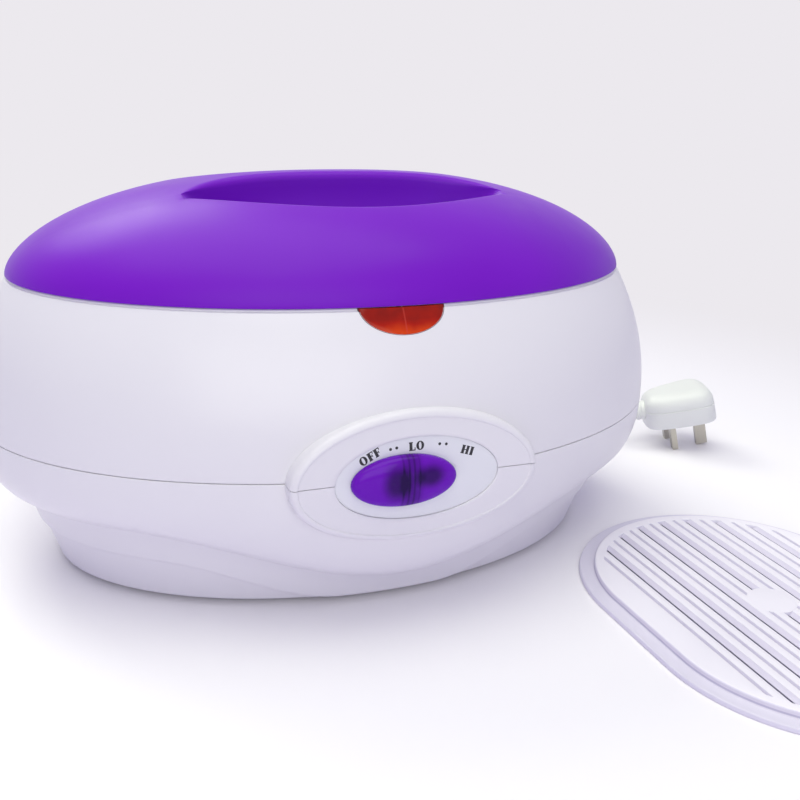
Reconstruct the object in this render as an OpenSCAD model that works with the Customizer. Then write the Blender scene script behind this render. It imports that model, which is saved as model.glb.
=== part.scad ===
// Oval paraffin wax warmer with its hand grille and mains lead, in millimetres.
// +Z is up, the control panel faces -Y, and the origin is on the table under the middle of the base.

/* [Housing] */
// Half length of the body at its seam
body_a = 190.5; // [185:0.5:200]
// Half depth of the body at its seam
body_b = 135; // [131:0.5:140]
// Height of the seam between the two housings
seam_z = 81; // [78:0.5:84]
// Half length of the rim under the lid
rim_a = 170; // [168:0.5:174]
// Half depth of the rim under the lid
rim_b = 108; // [106:0.5:111]
// Height of the rim
rim_z = 154.5; // [152:0.5:158]
// Half length of the base
base_a = 157.5; // [154:0.5:160]
// Half depth of the base
base_b = 102; // [100:0.5:105]
// Wall of both housings
wall = 2.5; // [2:0.1:3]
// Floor of the lower housing
floor_t = 2.5; // [2:0.1:3.5]
// Width of the flat top of the rim
rim_w = 4; // [3.5:0.1:5]
// Depth of the ledge that carries the tank, below the rim
ledge_drop = 5; // [4.6:0.1:6]

/* [Skirt] */
// Outward lean of the skirt for each millimetre of height
skirt_lean = 0.30; // [0.2:0.01:0.35]
// Step from the skirt out to the bulge
skirt_step = 3; // [2:0.1:4]
// Lowest height of the bulge's lower edge, at the middle of the front
wave_low = 20; // [17:0.5:22]
// Highest height of the bulge's lower edge, at the ends
wave_high = 48; // [44:0.5:50]
// Recess of the foot below the skirt
foot_inset = 2.5; // [1.5:0.1:3]
// Highest height of the foot's upper edge, at the ends
foot_high = 26.5; // [22:0.5:29]

/* [Lid] */
// Height of the lid's dome
lid_h = 50; // [46:0.5:56]
// Wall of the lid
lid_wall = 2.5; // [2:0.1:3]
// Half length of each finger scoop
scoop_half = 87; // [80:0.5:92]
// Height of the scoops' floor above the rim
scoop_floor = 13.5; // [11:0.5:16]
// Distance from the lid's middle to the front lip of a scoop
scoop_out = 66; // [62:0.5:70]
// Half thickness of the handle ridge between the scoops
ridge_half = 8; // [7:0.5:10]
// Depth of the rib that centres the lid in the rim
lid_rib_h = 1.8; // [1.2:0.1:2.2]

/* [Control panel] */
// Half width of the raised panel
boss_a = 61; // [58:0.5:64]
// Half height of the raised panel
boss_b = 32.5; // [31:0.5:34]
// Height of the panel's middle
panel_z = 80; // [79:0.5:81]
// Radius of the panel's upright curve
face_r = 140; // [135:1:146]
// Distance from the body's middle to the panel's face
face_y = 137; // [136.5:0.1:138]
// Half width of the control plate
plate_a = 40; // [38:0.5:42]
// Half height of the control plate
plate_b = 20; // [19:0.5:21]
// How far the plate's face lies behind the panel's face
plate_inset = 0.8; // [0.5:0.1:1.2]
// Half length of the slot in the plate
slot_half = 18; // [14:0.5:20]
// Height of the slot in the plate
slot_h = 10; // [8:0.5:11]

/* [Slide knob] */
// Half length of the knob
knob_a = 25.6; // [25:0.5:28]
// Half height of the knob
knob_b = 12.5; // [12.5:0.1:14]
// Height of the knob's crown above the plate
knob_h = 6.8; // [6:0.1:7.5]
// Travel of the knob from OFF to HI
knob_travel = 15; // [12:0.5:15]

/* [Indicator] */
// Half width of the indicator lens
lens_half = 21; // [18:0.5:23]
// Depth of the lens below the rim
lens_drop = 11.5; // [10:0.5:13]
// Thickness of the lens
lens_t = 2; // [1.6:0.1:2.4]
// Length of one indicator lamp
lamp_l = 12; // [10:0.5:14]
// Radius of an indicator lamp
lamp_r = 2.2; // [1.8:0.1:2.3]

/* [Tank] */
// Half length of the tank inside, at the top
tank_a = 152; // [149:0.5:152.5]
// Half depth of the tank inside, at the top
tank_b = 92; // [90:0.5:93]
// How far the tank's wall leans inwards to the bottom
tank_lean = 6; // [4:0.5:8]
// Height of the inside of the tank's bottom
tank_floor_z = 50; // [48:0.5:54]
// Thickness of the tank's sheet
tank_t = 1.5; // [1.2:0.1:1.8]
// Radius of the tank's bottom corner
tank_corner = 12; // [8:0.5:16]
// Thickness of the insulation band
band_t = 6; // [4:0.5:8]
// Thickness of the gasket under the tank's flange
gasket_t = 0.8; // [0.5:0.1:0.9]

/* [Heater] */
// Radius of the heating element's sheath
sheath_r = 3.5; // [3:0.1:4]
// Half length of the element's ring
element_a = 105; // [95:1:112]
// Thickness of the clamp plate under the element
clamp_t = 2; // [1.5:0.1:2.5]
// Radius of the studs on the tank's bottom
stud_r = 2; // [1.8:0.1:2.5]
// Width across the flats of a nut
nut_af = 7; // [6.5:0.1:8]
// Thickness of a nut
nut_t = 3.2; // [2.8:0.1:4]

/* [Thermostat] */
// Radius of the thermostat's case
stat_r = 13; // [11:0.5:14]
// Radius of the thermostat's spindle
spindle_r = 3; // [2.5:0.1:3.5]
// Distance from the lever's pivot to the carriage's pin
lever_r = 22; // [20:0.5:23]
// Radius of the carriage's pin
pin_r = 2; // [1.8:0.1:2.2]
// Thickness of the lever
lever_t = 2; // [1.5:0.1:2.2]

/* [Grille] */
// Radius of the grille's round ends
grille_r = 83; // [80:0.5:85]
// Half length of the grille's straight sides
grille_half = 28; // [24:0.5:32]
// Thickness of the grille's outer ledge
grille_ledge_t = 2.5; // [2:0.1:3]
// Whole height of the grille
grille_h = 6; // [5:0.1:7]
// Width of the outer ledge
grille_ledge_w = 8; // [6:0.5:10]
// Spacing of the grille's bars
bar_pitch = 8.3; // [8:0.05:9]
// Width of the wide slots
slot_wide = 5.5; // [4.5:0.1:6]
// Width of the narrow slots
slot_narrow = 2; // [1.6:0.1:2.6]
// Radius of the disc at the grille's middle
hub_r = 12.5; // [10:0.5:15]

/* [Fasteners and feet] */
// Height of the rubber feet below the base
foot_h = 3; // [2.5:0.1:4]
// Radius of a rubber foot
foot_r = 9; // [7:0.5:11]
// Radius of a housing screw's shank
screw_r = 2; // [1.6:0.1:2.3]
// Radius of a housing screw's head
screw_head_r = 4; // [3.5:0.1:4.2]

/* [Mains lead] */
// Radius of the mains lead
cord_r = 3.5; // [3.3:0.1:3.7]
// Radius of the coil at the middle of its turns
coil_mid_r = 38.5; // [35:0.5:42]
// Turns side by side in the coil
coil_wide = 3; // [2:1:3]
// Layers of turns in the coil
coil_layers = 2; // [2:1:3]
// Length of the strain relief outside the wall
boot_l = 32; // [26:1:40]

/* [Hidden] */

$fn = 64;
eps = 0.01;
// Running clearance of a pin or shaft in its hole
run_fit = 0.05;
// Clearance between pieces that slide or lift past each other
free_gap = 0.3;
// Clearance of one piece seated in another of the same body
seat_gap = 0.15;

base_z = foot_h;
floor_z = base_z + floor_t;
sides = 72;
foot_flat = 25;
foot_reach = 110;
foot_min = 0.6;
wave_reach = 122;
bulge_power = 2.3;
upper_power = 2.1;
dome_power = 2.46;
dome_round = 1.62;
lid_over = 0.5;

// Heights of the housings' patterned edges

function smooth(t) = 0.5 - 0.5 * cos(180 * min(1, max(0, t)));

function wave_z(x) = wave_low + (wave_high - wave_low) * smooth(abs(x) / wave_reach);

function foot_z(x) =
    base_z + foot_min + (foot_high - base_z - foot_min)
    * smooth((abs(x) - foot_flat) / (foot_reach - foot_flat));

// A section point is [half length, half depth, height] at one angle of the oval

function skirt_at(z, off) =
    [base_a + skirt_lean * (z - base_z) + off, base_b + skirt_lean * (z - base_z) + off, z];

function bulge_at(z0, t, off, lift) =
    let (g = pow(1 - pow(1 - t, bulge_power), 1 / bulge_power),
         s = skirt_at(z0, skirt_step))
    [s[0] + (body_a - s[0]) * g - off, s[1] + (body_b - s[1]) * g - off,
     z0 + (seam_z - z0) * t + lift * (1 - t)];

function upper_at(u, off) =
    let (g = pow(u, upper_power))
    [body_a - (body_a - rim_a) * g - off, body_b - (body_b - rim_b) * g - off,
     seam_z + (rim_z - seam_z) * u];

function dome_at(h, off) =
    let (rho = pow(1 - pow(h, dome_round), 1 / dome_power))
    [(rim_a + lid_over - off) * rho, (rim_b + lid_over - off) * rho,
     rim_z + (lid_h - off) * h];

function around(angle, p) = [p[0] * cos(angle), p[1] * sin(angle), p[2]];

function ring_angles() = [for (i = [0 : sides - 1]) i * 360 / sides];

// Rings of points, each with the same number of points, joined into one closed skin
module loft(rings, capped) {
    n = len(rings[0]);
    m = len(rings);
    last = capped ? m - 2 : m - 1;
    points = [for (r = rings) for (p = r) p];
    walls = [for (j = [0 : last]) for (i = [0 : n - 1])
             let (i2 = (i + 1) % n, j2 = (j + 1) % m)
             for (f = [[j * n + i, j2 * n + i, j2 * n + i2], [j * n + i, j2 * n + i2, j * n + i2]]) f];
    caps = capped
        ? [[for (i = [0 : n - 1]) i], [for (i = [n - 1 : -1 : 0]) (m - 1) * n + i]]
        : [];
    polyhedron(points = points, faces = concat(walls, caps), convexity = 8);
}

upper_steps = [0, 0.12, 0.25, 0.38, 0.5, 0.62, 0.73, 0.83, 0.92, 1];
upper_inner_steps = [0.87, 0.76, 0.62, 0.44, 0.24, 0];
bulge_steps = [0, 0.02, 0.07, 0.15, 0.27, 0.42, 0.6, 0.8, 1];
bulge_inner_steps = [1, 0.75, 0.5, 0.3, 0.15, 0.06];
dome_steps = [0, 0.12, 0.24, 0.36, 0.48, 0.59, 0.69, 0.78, 0.86, 0.92, 0.965, 0.99, 0.999];
dome_inner_steps = [0, 0.2, 0.4, 0.58, 0.74, 0.87, 0.95, 0.99];

ledge_z = rim_z - ledge_drop;
ledge_t = 2.5;
tank_k = tank_b / tank_a;
flange_a = rim_a - rim_w - 0.8;
ledge_a = tank_a + tank_t + 1;
ledge_b = tank_b + tank_t + 1;

// Section of the upper housing at every angle, outside from seam to rim, then back inside
upper_sections = concat(
    [for (u = upper_steps) upper_at(u, 0)],
    [[rim_a - rim_w, rim_b - rim_w, rim_z],
     [rim_a - rim_w, rim_b - rim_w, ledge_z],
     [ledge_a, ledge_b, ledge_z],
     [ledge_a, ledge_b, ledge_z - ledge_t]],
    [for (u = upper_inner_steps) upper_at(u, wall)]);

// An oval solid along Y, which bounds the panel and its plate
module oval_y(a, b, z, y_from, y_to) {
    translate([0, y_to, z]) rotate([90, 0, 0]) scale([1, b / a, 1])
        cylinder(r = a, h = y_to - y_from);
}

face_axis_y = face_r - face_y;
face_axis_z = panel_z + 2;

// A long round bar along X that gives the panel its upright curve
module face_bar(inset) {
    translate([-boss_a - 10, face_axis_y, face_axis_z]) rotate([0, 90, 0])
        cylinder(r = face_r - inset, h = 2 * boss_a + 20, $fn = 128);
}

boss_wall = 2.5;
boss_back = -122;
module boss_shell() {
    difference() {
        intersection() {
            oval_y(boss_a, boss_b, panel_z, -face_y - 5, boss_back);
            face_bar(0);
        }
        intersection() {
            oval_y(boss_a - boss_wall, boss_b - boss_wall, panel_z, -face_y - 5, boss_back + 1);
            face_bar(boss_wall);
        }
        oval_y(plate_a + seat_gap, plate_b + seat_gap, panel_z, -face_y - 5, boss_back + 1);
    }
}

module boss_room() {
    oval_y(boss_a - boss_wall, boss_b - boss_wall, panel_z, -face_y - 15, boss_back + 5);
}

screw_x = 139;
screw_y = 73;
screw_angle = atan2(screw_y, screw_x);
// Each screw's own X axis points straight out from the middle of the body
module at_screws() {
    for (mx = [0, 1]) for (my = [0, 1]) mirror([mx, 0, 0]) mirror([0, my, 0])
        translate([screw_x, screw_y, 0]) rotate([0, 0, screw_angle]) children();
}

screw_seat_z = 54;
post_r = 5.5;
post_h = 20;
tube_r = 6.2;
tube_low = 51.5;
screw_l = 42;

lens_gap = 0.2;
lens_room_y = -101;
module lens_prism(grow, y_from, y_to) {
    translate([0, y_to, rim_z]) rotate([90, 0, 0])
        linear_extrude(y_to - y_from)
            intersection() {
                scale([1, (lens_drop + grow) / (lens_half + grow)]) circle(r = lens_half + grow);
                translate([-lens_half - 1, -lens_drop - 1]) square([2 * lens_half + 2, lens_drop + 1]);
            }
}

module lid() {
    color([0.50, 0.22, 0.78, 0.85])
    translate([0, 0, free_gap]) {
        difference() {
            lid_solid(0, dome_steps);
            for (s = [1, -1]) scale([1, s, 1]) scoop(0, scoop_floor);
            difference() {
                translate([0, 0, -eps]) lid_solid(lid_wall, dome_inner_steps);
                for (s = [1, -1]) scale([1, s, 1]) scoop(lid_wall, scoop_floor - lid_wall);
            }
        }
        lid_rib();
    }
}

module lid_solid(off, steps) {
    loft([for (h = steps) [for (a = ring_angles()) around(a, dome_at(h, off))]], true);
}

rib_gap = 0.5;
rib_t = 2;
rib_root_t = 1.2;

// The centring rib hangs inside the rim, from a root that joins the lid's wall
module lid_rib() {
    a = rim_a - rim_w - rib_gap;
    b = rim_b - rim_w - rib_gap;
    translate([0, 0, rim_z]) difference() {
        union() {
            translate([0, 0, -lid_rib_h]) oval_disc(a, b, lid_rib_h + rib_root_t);
            oval_disc(rim_a - lid_wall / 2, rim_b - lid_wall / 2, rib_root_t);
        }
        translate([0, 0, -lid_rib_h - 1]) oval_disc(a - rib_t, b - rib_t, 10);
    }
}

module oval_disc(a, b, h) {
    scale([1, b / a, 1]) cylinder(r = a, h = h, $fn = 96);
}

scoop_bow = 0.0044;
scoop_points = 28;
// One scoop: its outer lip is a shallow bow, and its inner side runs along the handle ridge
module scoop(grow, from_h) {
    half = scoop_half + 1.4 * grow;
    tip = -scoop_out + scoop_bow * scoop_half * scoop_half;
    xs = [for (i = [0 : scoop_points]) -half + 2 * half * i / scoop_points];
    lip = [for (x = xs) let (q = x * scoop_half / half)
           [x, tip + (-scoop_out - grow + scoop_bow * q * q - tip) * (abs(x) < half ? 1 : 0)]];
    ridge = [for (i = [scoop_points - 1 : -1 : 1]) let (x = xs[i])
             [x, tip + (-ridge_half + grow - tip) * pow(1 - pow(abs(x) / half, 4), 1 / 1.3)]];
    translate([0, 0, rim_z + from_h]) linear_extrude(lid_h) polygon(concat(lip, ridge));
}

module upper_housing() {
    color([0.86, 0.85, 0.89]) {
        difference() {
            union() {
                difference() {
                    loft([for (p = upper_sections) [for (a = ring_angles()) around(a, p)]], false);
                    boss_room();
                }
                intersection() {
                    boss_shell();
                    translate([-100, -200, seam_z]) cube([200, 200, 60]);
                }
            }
            lens_prism(lens_gap, -rim_b - 20, lens_room_y);
        }
        upper_posts();
    }
}

// Screw posts hang from ribs that reach out to the housing's wall
module upper_posts() {
    at_screws() difference() {
        union() {
            translate([0, 0, seam_z]) cylinder(r = post_r, h = post_h);
            intersection() {
                translate([0, -1.25, seam_z + 1]) cube([40, 2.5, post_h - 5]);
                translate([-norm([screw_x, screw_y]), 0, 0]) rotate([0, 0, -screw_angle])
                    oval_disc(body_a - 2.1, body_b - 2.1, 200);
            }
        }
        translate([0, 0, seam_z - 1]) cylinder(r = screw_r + run_fit, h = post_h - 2);
    }
}

function lower_ring(kind, t) =
    [for (a = ring_angles())
     let (x = base_a * 1.06 * cos(a), zw = wave_z(x), zf = foot_z(base_a * cos(a)))
     around(a,
        kind == "foot_low" ? skirt_at(base_z, -foot_inset) :
        kind == "foot_top" ? skirt_at(zf, -foot_inset) :
        kind == "skirt_low" ? skirt_at(zf, 0) :
        kind == "skirt_top" ? skirt_at(zw, 0) :
        kind == "bulge" ? bulge_at(zw, t, 0, 0) :
        kind == "bulge_in" ? bulge_at(zw, t, wall, 2) :
        kind == "skirt_in" ? skirt_at(zw + 1.5, -foot_inset - wall) :
        skirt_at(floor_z, -foot_inset - wall))];

module lower_housing() {
    color([0.86, 0.85, 0.89]) {
        difference() {
            union() {
                difference() {
                    loft(concat(
                        [lower_ring("foot_low", 0), lower_ring("foot_top", 0),
                         lower_ring("skirt_low", 0), lower_ring("skirt_top", 0)],
                        [for (t = bulge_steps) lower_ring("bulge", t)],
                        [for (t = bulge_inner_steps) lower_ring("bulge_in", t)],
                        [lower_ring("skirt_in", 0), lower_ring("floor", 0)]), true);
                    boss_room();
                }
                intersection() {
                    boss_shell();
                    translate([-100, -200, seam_z - 60]) cube([200, 200, 60]);
                }
                at_screws() translate([0, 0, tube_low]) cylinder(r = tube_r, h = seam_z - 0.2 - tube_low);
                gland_boss();
                cord_post();
                bracket_post();
                block_posts();
            }
            at_screws() translate([0, 0, wave_high - 4])
                cylinder(r = screw_head_r + 0.4, h = screw_seat_z - wave_high + 4);
            at_screws() cylinder(r = screw_r + 0.3, h = seam_z + 1);
            at_feet() translate([0, 0, base_z - 1]) cylinder(r = foot_r + seat_gap, h = 2);
            gland_hole();
            bracket_holes();
            clamp_holes();
        }
    }
}

// Mains lead's way in

exit_x = 70;
exit_y = 98;
exit_z = 25;
gland_r = 6;
gland_flange_r = 8;
gland_land = 4.5;
gland_boss_r = 10.5;

module along_exit(y) {
    translate([exit_x, y, exit_z]) rotate([-90, 0, 0]) children();
}

// A round land with flat faces, on which the strain relief's two flanges bear
module gland_boss() {
    along_exit(exit_y - 5) cylinder(r = gland_boss_r, h = gland_land + 5);
}

module gland_hole() {
    along_exit(exit_y - 12) cylinder(r = gland_r + seat_gap, h = 30);
    along_exit(exit_y - 22) cylinder(r = gland_flange_r + 0.5, h = 22);
}

clamp_y = 76;
clamp_w = 24;
clamp_d = 8;
clamp_screw_x = 8.5;
clamp_screw_r = 1.5;
module cord_post() {
    translate([exit_x - clamp_w / 2, clamp_y - clamp_d / 2, floor_z - 0.5])
        cube([clamp_w, clamp_d, exit_z - cord_r - 0.2 - floor_z + 0.5]);
}

module clamp_holes() {
    for (s = [-1, 1]) translate([exit_x + s * clamp_screw_x, clamp_y, floor_z + 3])
        cylinder(r = clamp_screw_r + run_fit, h = 30);
}

module cord_clamp() {
    color([0.2, 0.2, 0.22])
    difference() {
        translate([exit_x - clamp_w / 2, clamp_y - clamp_d / 2, exit_z - cord_r - 0.1])
            cube([clamp_w, clamp_d, 2 * cord_r + 3.2]);
        translate([exit_x, clamp_y - 10, exit_z]) rotate([-90, 0, 0]) cylinder(r = cord_r + 0.1, h = 20);
        translate([exit_x - cord_r - 0.1, clamp_y - 10, exit_z - 10]) cube([2 * cord_r + 0.2, 20, 10]);
        for (s = [-1, 1]) translate([exit_x + s * clamp_screw_x, clamp_y, exit_z - 10])
            cylinder(r = clamp_screw_r + 0.2, h = 30);
    }
}

clamp_top = exit_z + cord_r + 3.1;
module clamp_screws() {
    color([0.75, 0.76, 0.78])
    for (s = [-1, 1]) translate([exit_x + s * clamp_screw_x, clamp_y, 0]) {
        translate([0, 0, floor_z + 4]) cylinder(r = clamp_screw_r, h = clamp_top - floor_z - 4 + eps);
        translate([0, 0, clamp_top]) difference() {
            cylinder(r = 2.8, h = 2);
            translate([-3, -0.4, 1]) cube([6, 0.8, 2]);
        }
    }
}

module strain_relief() {
    color([0.88, 0.88, 0.86])
    translate([exit_x, exit_y, exit_z]) rotate([-90, 0, 0])
        rotate_extrude() polygon([
            [cord_r + run_fit, -2.6], [gland_flange_r, -2.6], [gland_flange_r, -0.05], [gland_r, -0.05],
            [gland_r, gland_land + 0.05], [gland_flange_r, gland_land + 0.05],
            [gland_flange_r, gland_land + 2.6], [gland_r - 0.3, gland_land + 4.5],
            [cord_r + 1.1, boot_l + gland_land], [cord_r + run_fit, boot_l + gland_land]]);
}

// Sweeps a round tube along hand-chosen points, smoothed by a Catmull-Rom curve

function spline_point(p, k, t) =
    let (n = len(p) - 1,
         a = p[max(0, k - 1)], b = p[k], c = p[min(n, k + 1)], d = p[min(n, k + 2)])
    0.5 * (2 * b + (c - a) * t + (2 * a - 5 * b + 4 * c - d) * t * t
           + (3 * b - a - 3 * c + d) * t * t * t);

function spline(p, per) =
    concat([for (k = [0 : len(p) - 2]) for (i = [0 : per - 1]) spline_point(p, k, i / per)],
           [p[len(p) - 1]]);

function unit(v) = v / norm(v);

function tangent(p, i) =
    unit(p[min(len(p) - 1, i + 1)] - p[max(0, i - 1)]);

// The side vector stays close to level, and falls back to X where the tube runs upright
function side_of(t) =
    let (s = cross(t, [0.02, 0.01, 1]))
    norm(s) < 0.05 ? [1, 0, 0] : unit(s);

module tube(route, r, per, n) {
    p = spline(route, per);
    loft([for (i = [0 : len(p) - 1])
          let (t = tangent(p, i), u = side_of(t), v = cross(u, t))
          [for (k = [0 : n - 1]) p[i] + r * (cos(k * 360 / n) * u - sin(k * 360 / n) * v)]], true);
}

coil_x = 150;
coil_y = 155;
route_to_coil = [
    [70, 70, 25], [70, 90, 25], [70, 112, 25], [70, 134, 25], [70, 148, 23], [72, 161, 16],
    [77, 175, 8.5], [88, 189, 4.6], [106, 198, 3.8], [128, 200.5, 3.6], [150, 200.5, 3.6]];
route_to_plug = [
    [195.5, 155, 10.6], [195.8, 137, 9.9], [196.7, 127, 7.7], [198.4, 115, 5.2], [201.2, 103, 4.2],
    [205.6, 91, 5], [212.2, 80, 8.2], [221.5, 70.5, 13.3], [232.3, 63.6, 18.7], [244, 59, 22]];

module power_cord() {
    color([0.87, 0.87, 0.85]) {
        tube(route_to_coil, cord_r, 2, 10);
        tube(route_to_plug, cord_r, 2, 10);
    }
}

module cord_coil() {
    color([0.87, 0.87, 0.85])
    translate([coil_x, coil_y, 0.1]) rotate_extrude()
        translate([coil_mid_r - cord_r * coil_wide, 0])
            square([2 * cord_r * coil_wide, 2 * cord_r * coil_layers]);
}

// Plug, which stands on its three pins with the lead's end low

plug_x = 283;
plug_y = 45;
plug_yaw = -20;
plug_tilt = 13.96;
plug_lift = 19.83;
live_x = -9;
earth_x = 13.23;
pin_spread = 11.1;
live_l = 17.7;
earth_l = 22.7;
plug_t = 24;
plug_back = 26;
plug_front = 24;
plug_half = 24;
boot_from = 20;

module place_plug() {
    translate([plug_x, plug_y, plug_lift]) rotate([0, 0, plug_yaw]) rotate([0, -plug_tilt, 0])
        children();
}

module plug_body() {
    color([0.88, 0.90, 0.86])
    place_plug() {
        hull() {
            for (sy = [-1, 1]) {
                translate([plug_front - 8, sy * (plug_half - 8), 0]) cylinder(r = 8, h = 14, $fn = 20);
                translate([-plug_back + 8, sy * (plug_half - 15), 0]) cylinder(r = 8, h = 12, $fn = 20);
                translate([plug_front - 12, sy * (plug_half - 11), plug_t - 6]) sphere(r = 6, $fn = 20);
                translate([-plug_back + 10, sy * (plug_half - 17), plug_t - 8]) sphere(r = 6, $fn = 20);
            }
        }
        translate([-plug_back - boot_from, 0, plug_t / 2]) rotate([0, 90, 0])
            difference() {
                cylinder(r1 = 5, r2 = 7, h = boot_from + 4);
                translate([0, 0, -1]) cylinder(r = cord_r + run_fit, h = 12);
            }
    }
}

module plug_pins() {
    color([0.8, 0.74, 0.5])
    place_plug() {
        for (s = [-1, 1]) translate([live_x, s * pin_spread, -live_l / 2 - 0.02])
            cube([4, 6.35, live_l], center = true);
        translate([earth_x, 0, -earth_l / 2 - 0.02]) cube([8, 4, earth_l], center = true);
    }
}

// Control plate, knob and carriage

flange_grow = 3;
plate_t = 2.2;
flange_t = 1.5;
rail_gap = 0.3;
carriage_h = 14;
carriage_l = 30;
carriage_front = -132.2;
carriage_t = 2.8;
rail_back = -128.8;
rail_y = -133;
knob_z = panel_z + 0.5;
knob_rest_x = -knob_travel / 2;

module curved_slab(a, b, z, front_inset, back_inset) {
    difference() {
        intersection() {
            oval_y(a, b, z, -face_y - 5, boss_back);
            face_bar(front_inset);
        }
        face_bar(back_inset);
    }
}

module slot_cut(grow) {
    translate([-slot_half - grow, -face_y - 10, panel_z - slot_h / 2 - grow])
        cube([2 * slot_half + 2 * grow, 30, slot_h + 2 * grow]);
}

module control_plate() {
    color([0.88, 0.87, 0.90])
    difference() {
        union() {
            curved_slab(plate_a, plate_b, panel_z, plate_inset, boss_wall + flange_t);
            curved_slab(plate_a + flange_grow, plate_b + flange_grow, panel_z,
                        boss_wall + seat_gap, boss_wall + flange_t);
            for (s = [-1, 1])
                translate([-plate_a + 8, rail_y, panel_z + s * (carriage_h / 2 + rail_gap + 1) - 1])
                    cube([2 * plate_a - 16, rail_back - rail_y, 2]);
        }
        slot_cut(0);
    }
}

stem_w = 7;
module slide_knob() {
    color([0.38, 0.12, 0.62])
    translate([knob_rest_x, 0, 0]) {
        difference() {
            intersection() {
                oval_y(knob_a, knob_b, knob_z, -face_y - 12, boss_back);
                translate([0, -face_y + plate_inset, knob_z])
                    scale([knob_a * 1.36, knob_h + 0.3, knob_b * 1.36]) sphere(r = 1);
            }
            face_bar(plate_inset - free_gap);
        }
        translate([-stem_w / 2, -face_y, panel_z - stem_w / 2])
            cube([stem_w, face_y + carriage_front - 0.02, stem_w]);
    }
}

module knob_carriage() {
    color([0.16, 0.16, 0.18])
    translate([knob_rest_x, 0, 0]) {
        translate([-carriage_l / 2, carriage_front, panel_z - carriage_h / 2])
            cube([carriage_l, carriage_t, carriage_h]);
        translate([0, carriage_front + carriage_t - eps, panel_z]) rotate([-90, 0, 0])
            cylinder(r = pin_r, h = 5);
    }
}

// Thermostat behind the panel

pivot_z = panel_z - lever_r;
lever_front = -128.3;
rest_angle = atan(knob_rest_x / lever_r);
slot_play = 0.3;
lever_hub_r = 6;
lever_end = lever_r + 4;
lever_w = 9.6;

module thermostat_lever() {
    color([0.78, 0.79, 0.8])
    translate([0, lever_front, pivot_z]) rotate([0, rest_angle, 0])
    difference() {
        union() {
            rotate([-90, 0, 0]) cylinder(r = lever_hub_r, h = lever_t + 2);
            translate([-lever_w / 2, 0, 0]) cube([lever_w, lever_t, lever_end]);
            translate([0, 0, lever_end]) rotate([-90, 0, 0]) cylinder(r = lever_w / 2, h = lever_t);
        }
        translate([0, -1, 0]) rotate([-90, 0, 0]) cylinder(r = spindle_r + 0.02, h = 10);
        translate([-pin_r - slot_play, -1, lever_r - 1.5]) cube([2 * (pin_r + slot_play), 10, 3.6]);
        for (z = [lever_r - 1.5, lever_r + 2.1])
            translate([0, -1, z]) rotate([-90, 0, 0]) cylinder(r = pin_r + slot_play, h = 10);
    }
}

spindle_front = -129.5;
stat_front = -121;
stat_back = -106;
stat_top = pivot_z + stat_r;
module thermostat_spindle() {
    color([0.7, 0.62, 0.35])
    translate([0, spindle_front, pivot_z]) rotate([-90, 0, 0])
        cylinder(r = spindle_r, h = stat_back - spindle_front - 3);
}

tab_w = 6.3;
module thermostat_body() {
    color([0.82, 0.78, 0.68]) {
        translate([0, stat_front, pivot_z]) rotate([-90, 0, 0]) difference() {
            cylinder(r = stat_r, h = stat_back - stat_front);
            translate([0, 0, -1]) cylinder(r = spindle_r + run_fit, h = stat_back - stat_front - 1);
        }
        for (s = [-1, 1]) translate([s * 9 - tab_w / 2, stat_back - 4, pivot_z + stat_r - 4])
            cube([tab_w, 0.8, 9]);
    }
}

bracket_w = 32;
bracket_t = 2;
bracket_shelf_z = 38;
bracket_leg_y = -(base_b - wall - 9.5);
bracket_foot_y = bracket_leg_y + 12;
module thermostat_bracket() {
    color([0.7, 0.72, 0.74])
    difference() {
        union() {
            translate([-bracket_w / 2, stat_back + 0.05, bracket_shelf_z])
                cube([bracket_w, bracket_t, pivot_z + stat_r - bracket_shelf_z]);
            translate([-bracket_w / 2, stat_back + 0.05, bracket_shelf_z])
                cube([bracket_w, bracket_leg_y - stat_back, bracket_t]);
            translate([-bracket_w / 2, bracket_leg_y - bracket_t, bracket_post_z + 0.05])
                cube([bracket_w, bracket_t, bracket_shelf_z - bracket_post_z + bracket_t]);
            translate([-bracket_w / 2, bracket_leg_y - bracket_t, bracket_post_z + 0.05])
                cube([bracket_w, bracket_foot_y - bracket_leg_y + bracket_t, bracket_t]);
        }
        bracket_screw_shafts(0.2);
    }
}

bracket_post_z = 12;
bracket_screw_r = 1.75;
bracket_screw_y = bracket_leg_y + 7;
module bracket_post() {
    translate([-bracket_w / 2, bracket_leg_y - bracket_t, floor_z - 0.5])
        cube([bracket_w, bracket_foot_y - bracket_leg_y + bracket_t, bracket_post_z - floor_z + 0.5]);
}

module bracket_screw_shafts(grow) {
    for (s = [-1, 1]) translate([s * 10, bracket_screw_y, bracket_post_z - 6])
        cylinder(r = bracket_screw_r + grow, h = 12);
}

module bracket_holes() {
    bracket_screw_shafts(run_fit);
}

module bracket_screws() {
    color([0.75, 0.76, 0.78])
    for (s = [-1, 1]) translate([s * 10, bracket_screw_y, 0]) {
        translate([0, 0, bracket_post_z - 5.5])
            cylinder(r = bracket_screw_r, h = 5.5 + bracket_t + 0.1);
        translate([0, 0, bracket_post_z + bracket_t + 0.1]) difference() {
            cylinder(r = 3.2, h = 2.2);
            translate([-4, -0.4, 1.2]) cube([8, 0.8, 2]);
        }
    }
}

// Indicator

lens_steps = [0.80, 0.85, 0.90, 0.95, 1];
module indicator_lens() {
    color([0.72, 0.10, 0.05])
    intersection() {
        lens_prism(0, -rim_b - 20, lens_room_y);
        loft([for (p = concat([for (u = lens_steps) upper_at(u, 0)],
                              [for (i = [len(lens_steps) - 1 : -1 : 0]) upper_at(lens_steps[i], lens_t)]))
              [for (a = ring_angles()) around(a, p)]], false);
    }
}

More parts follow.
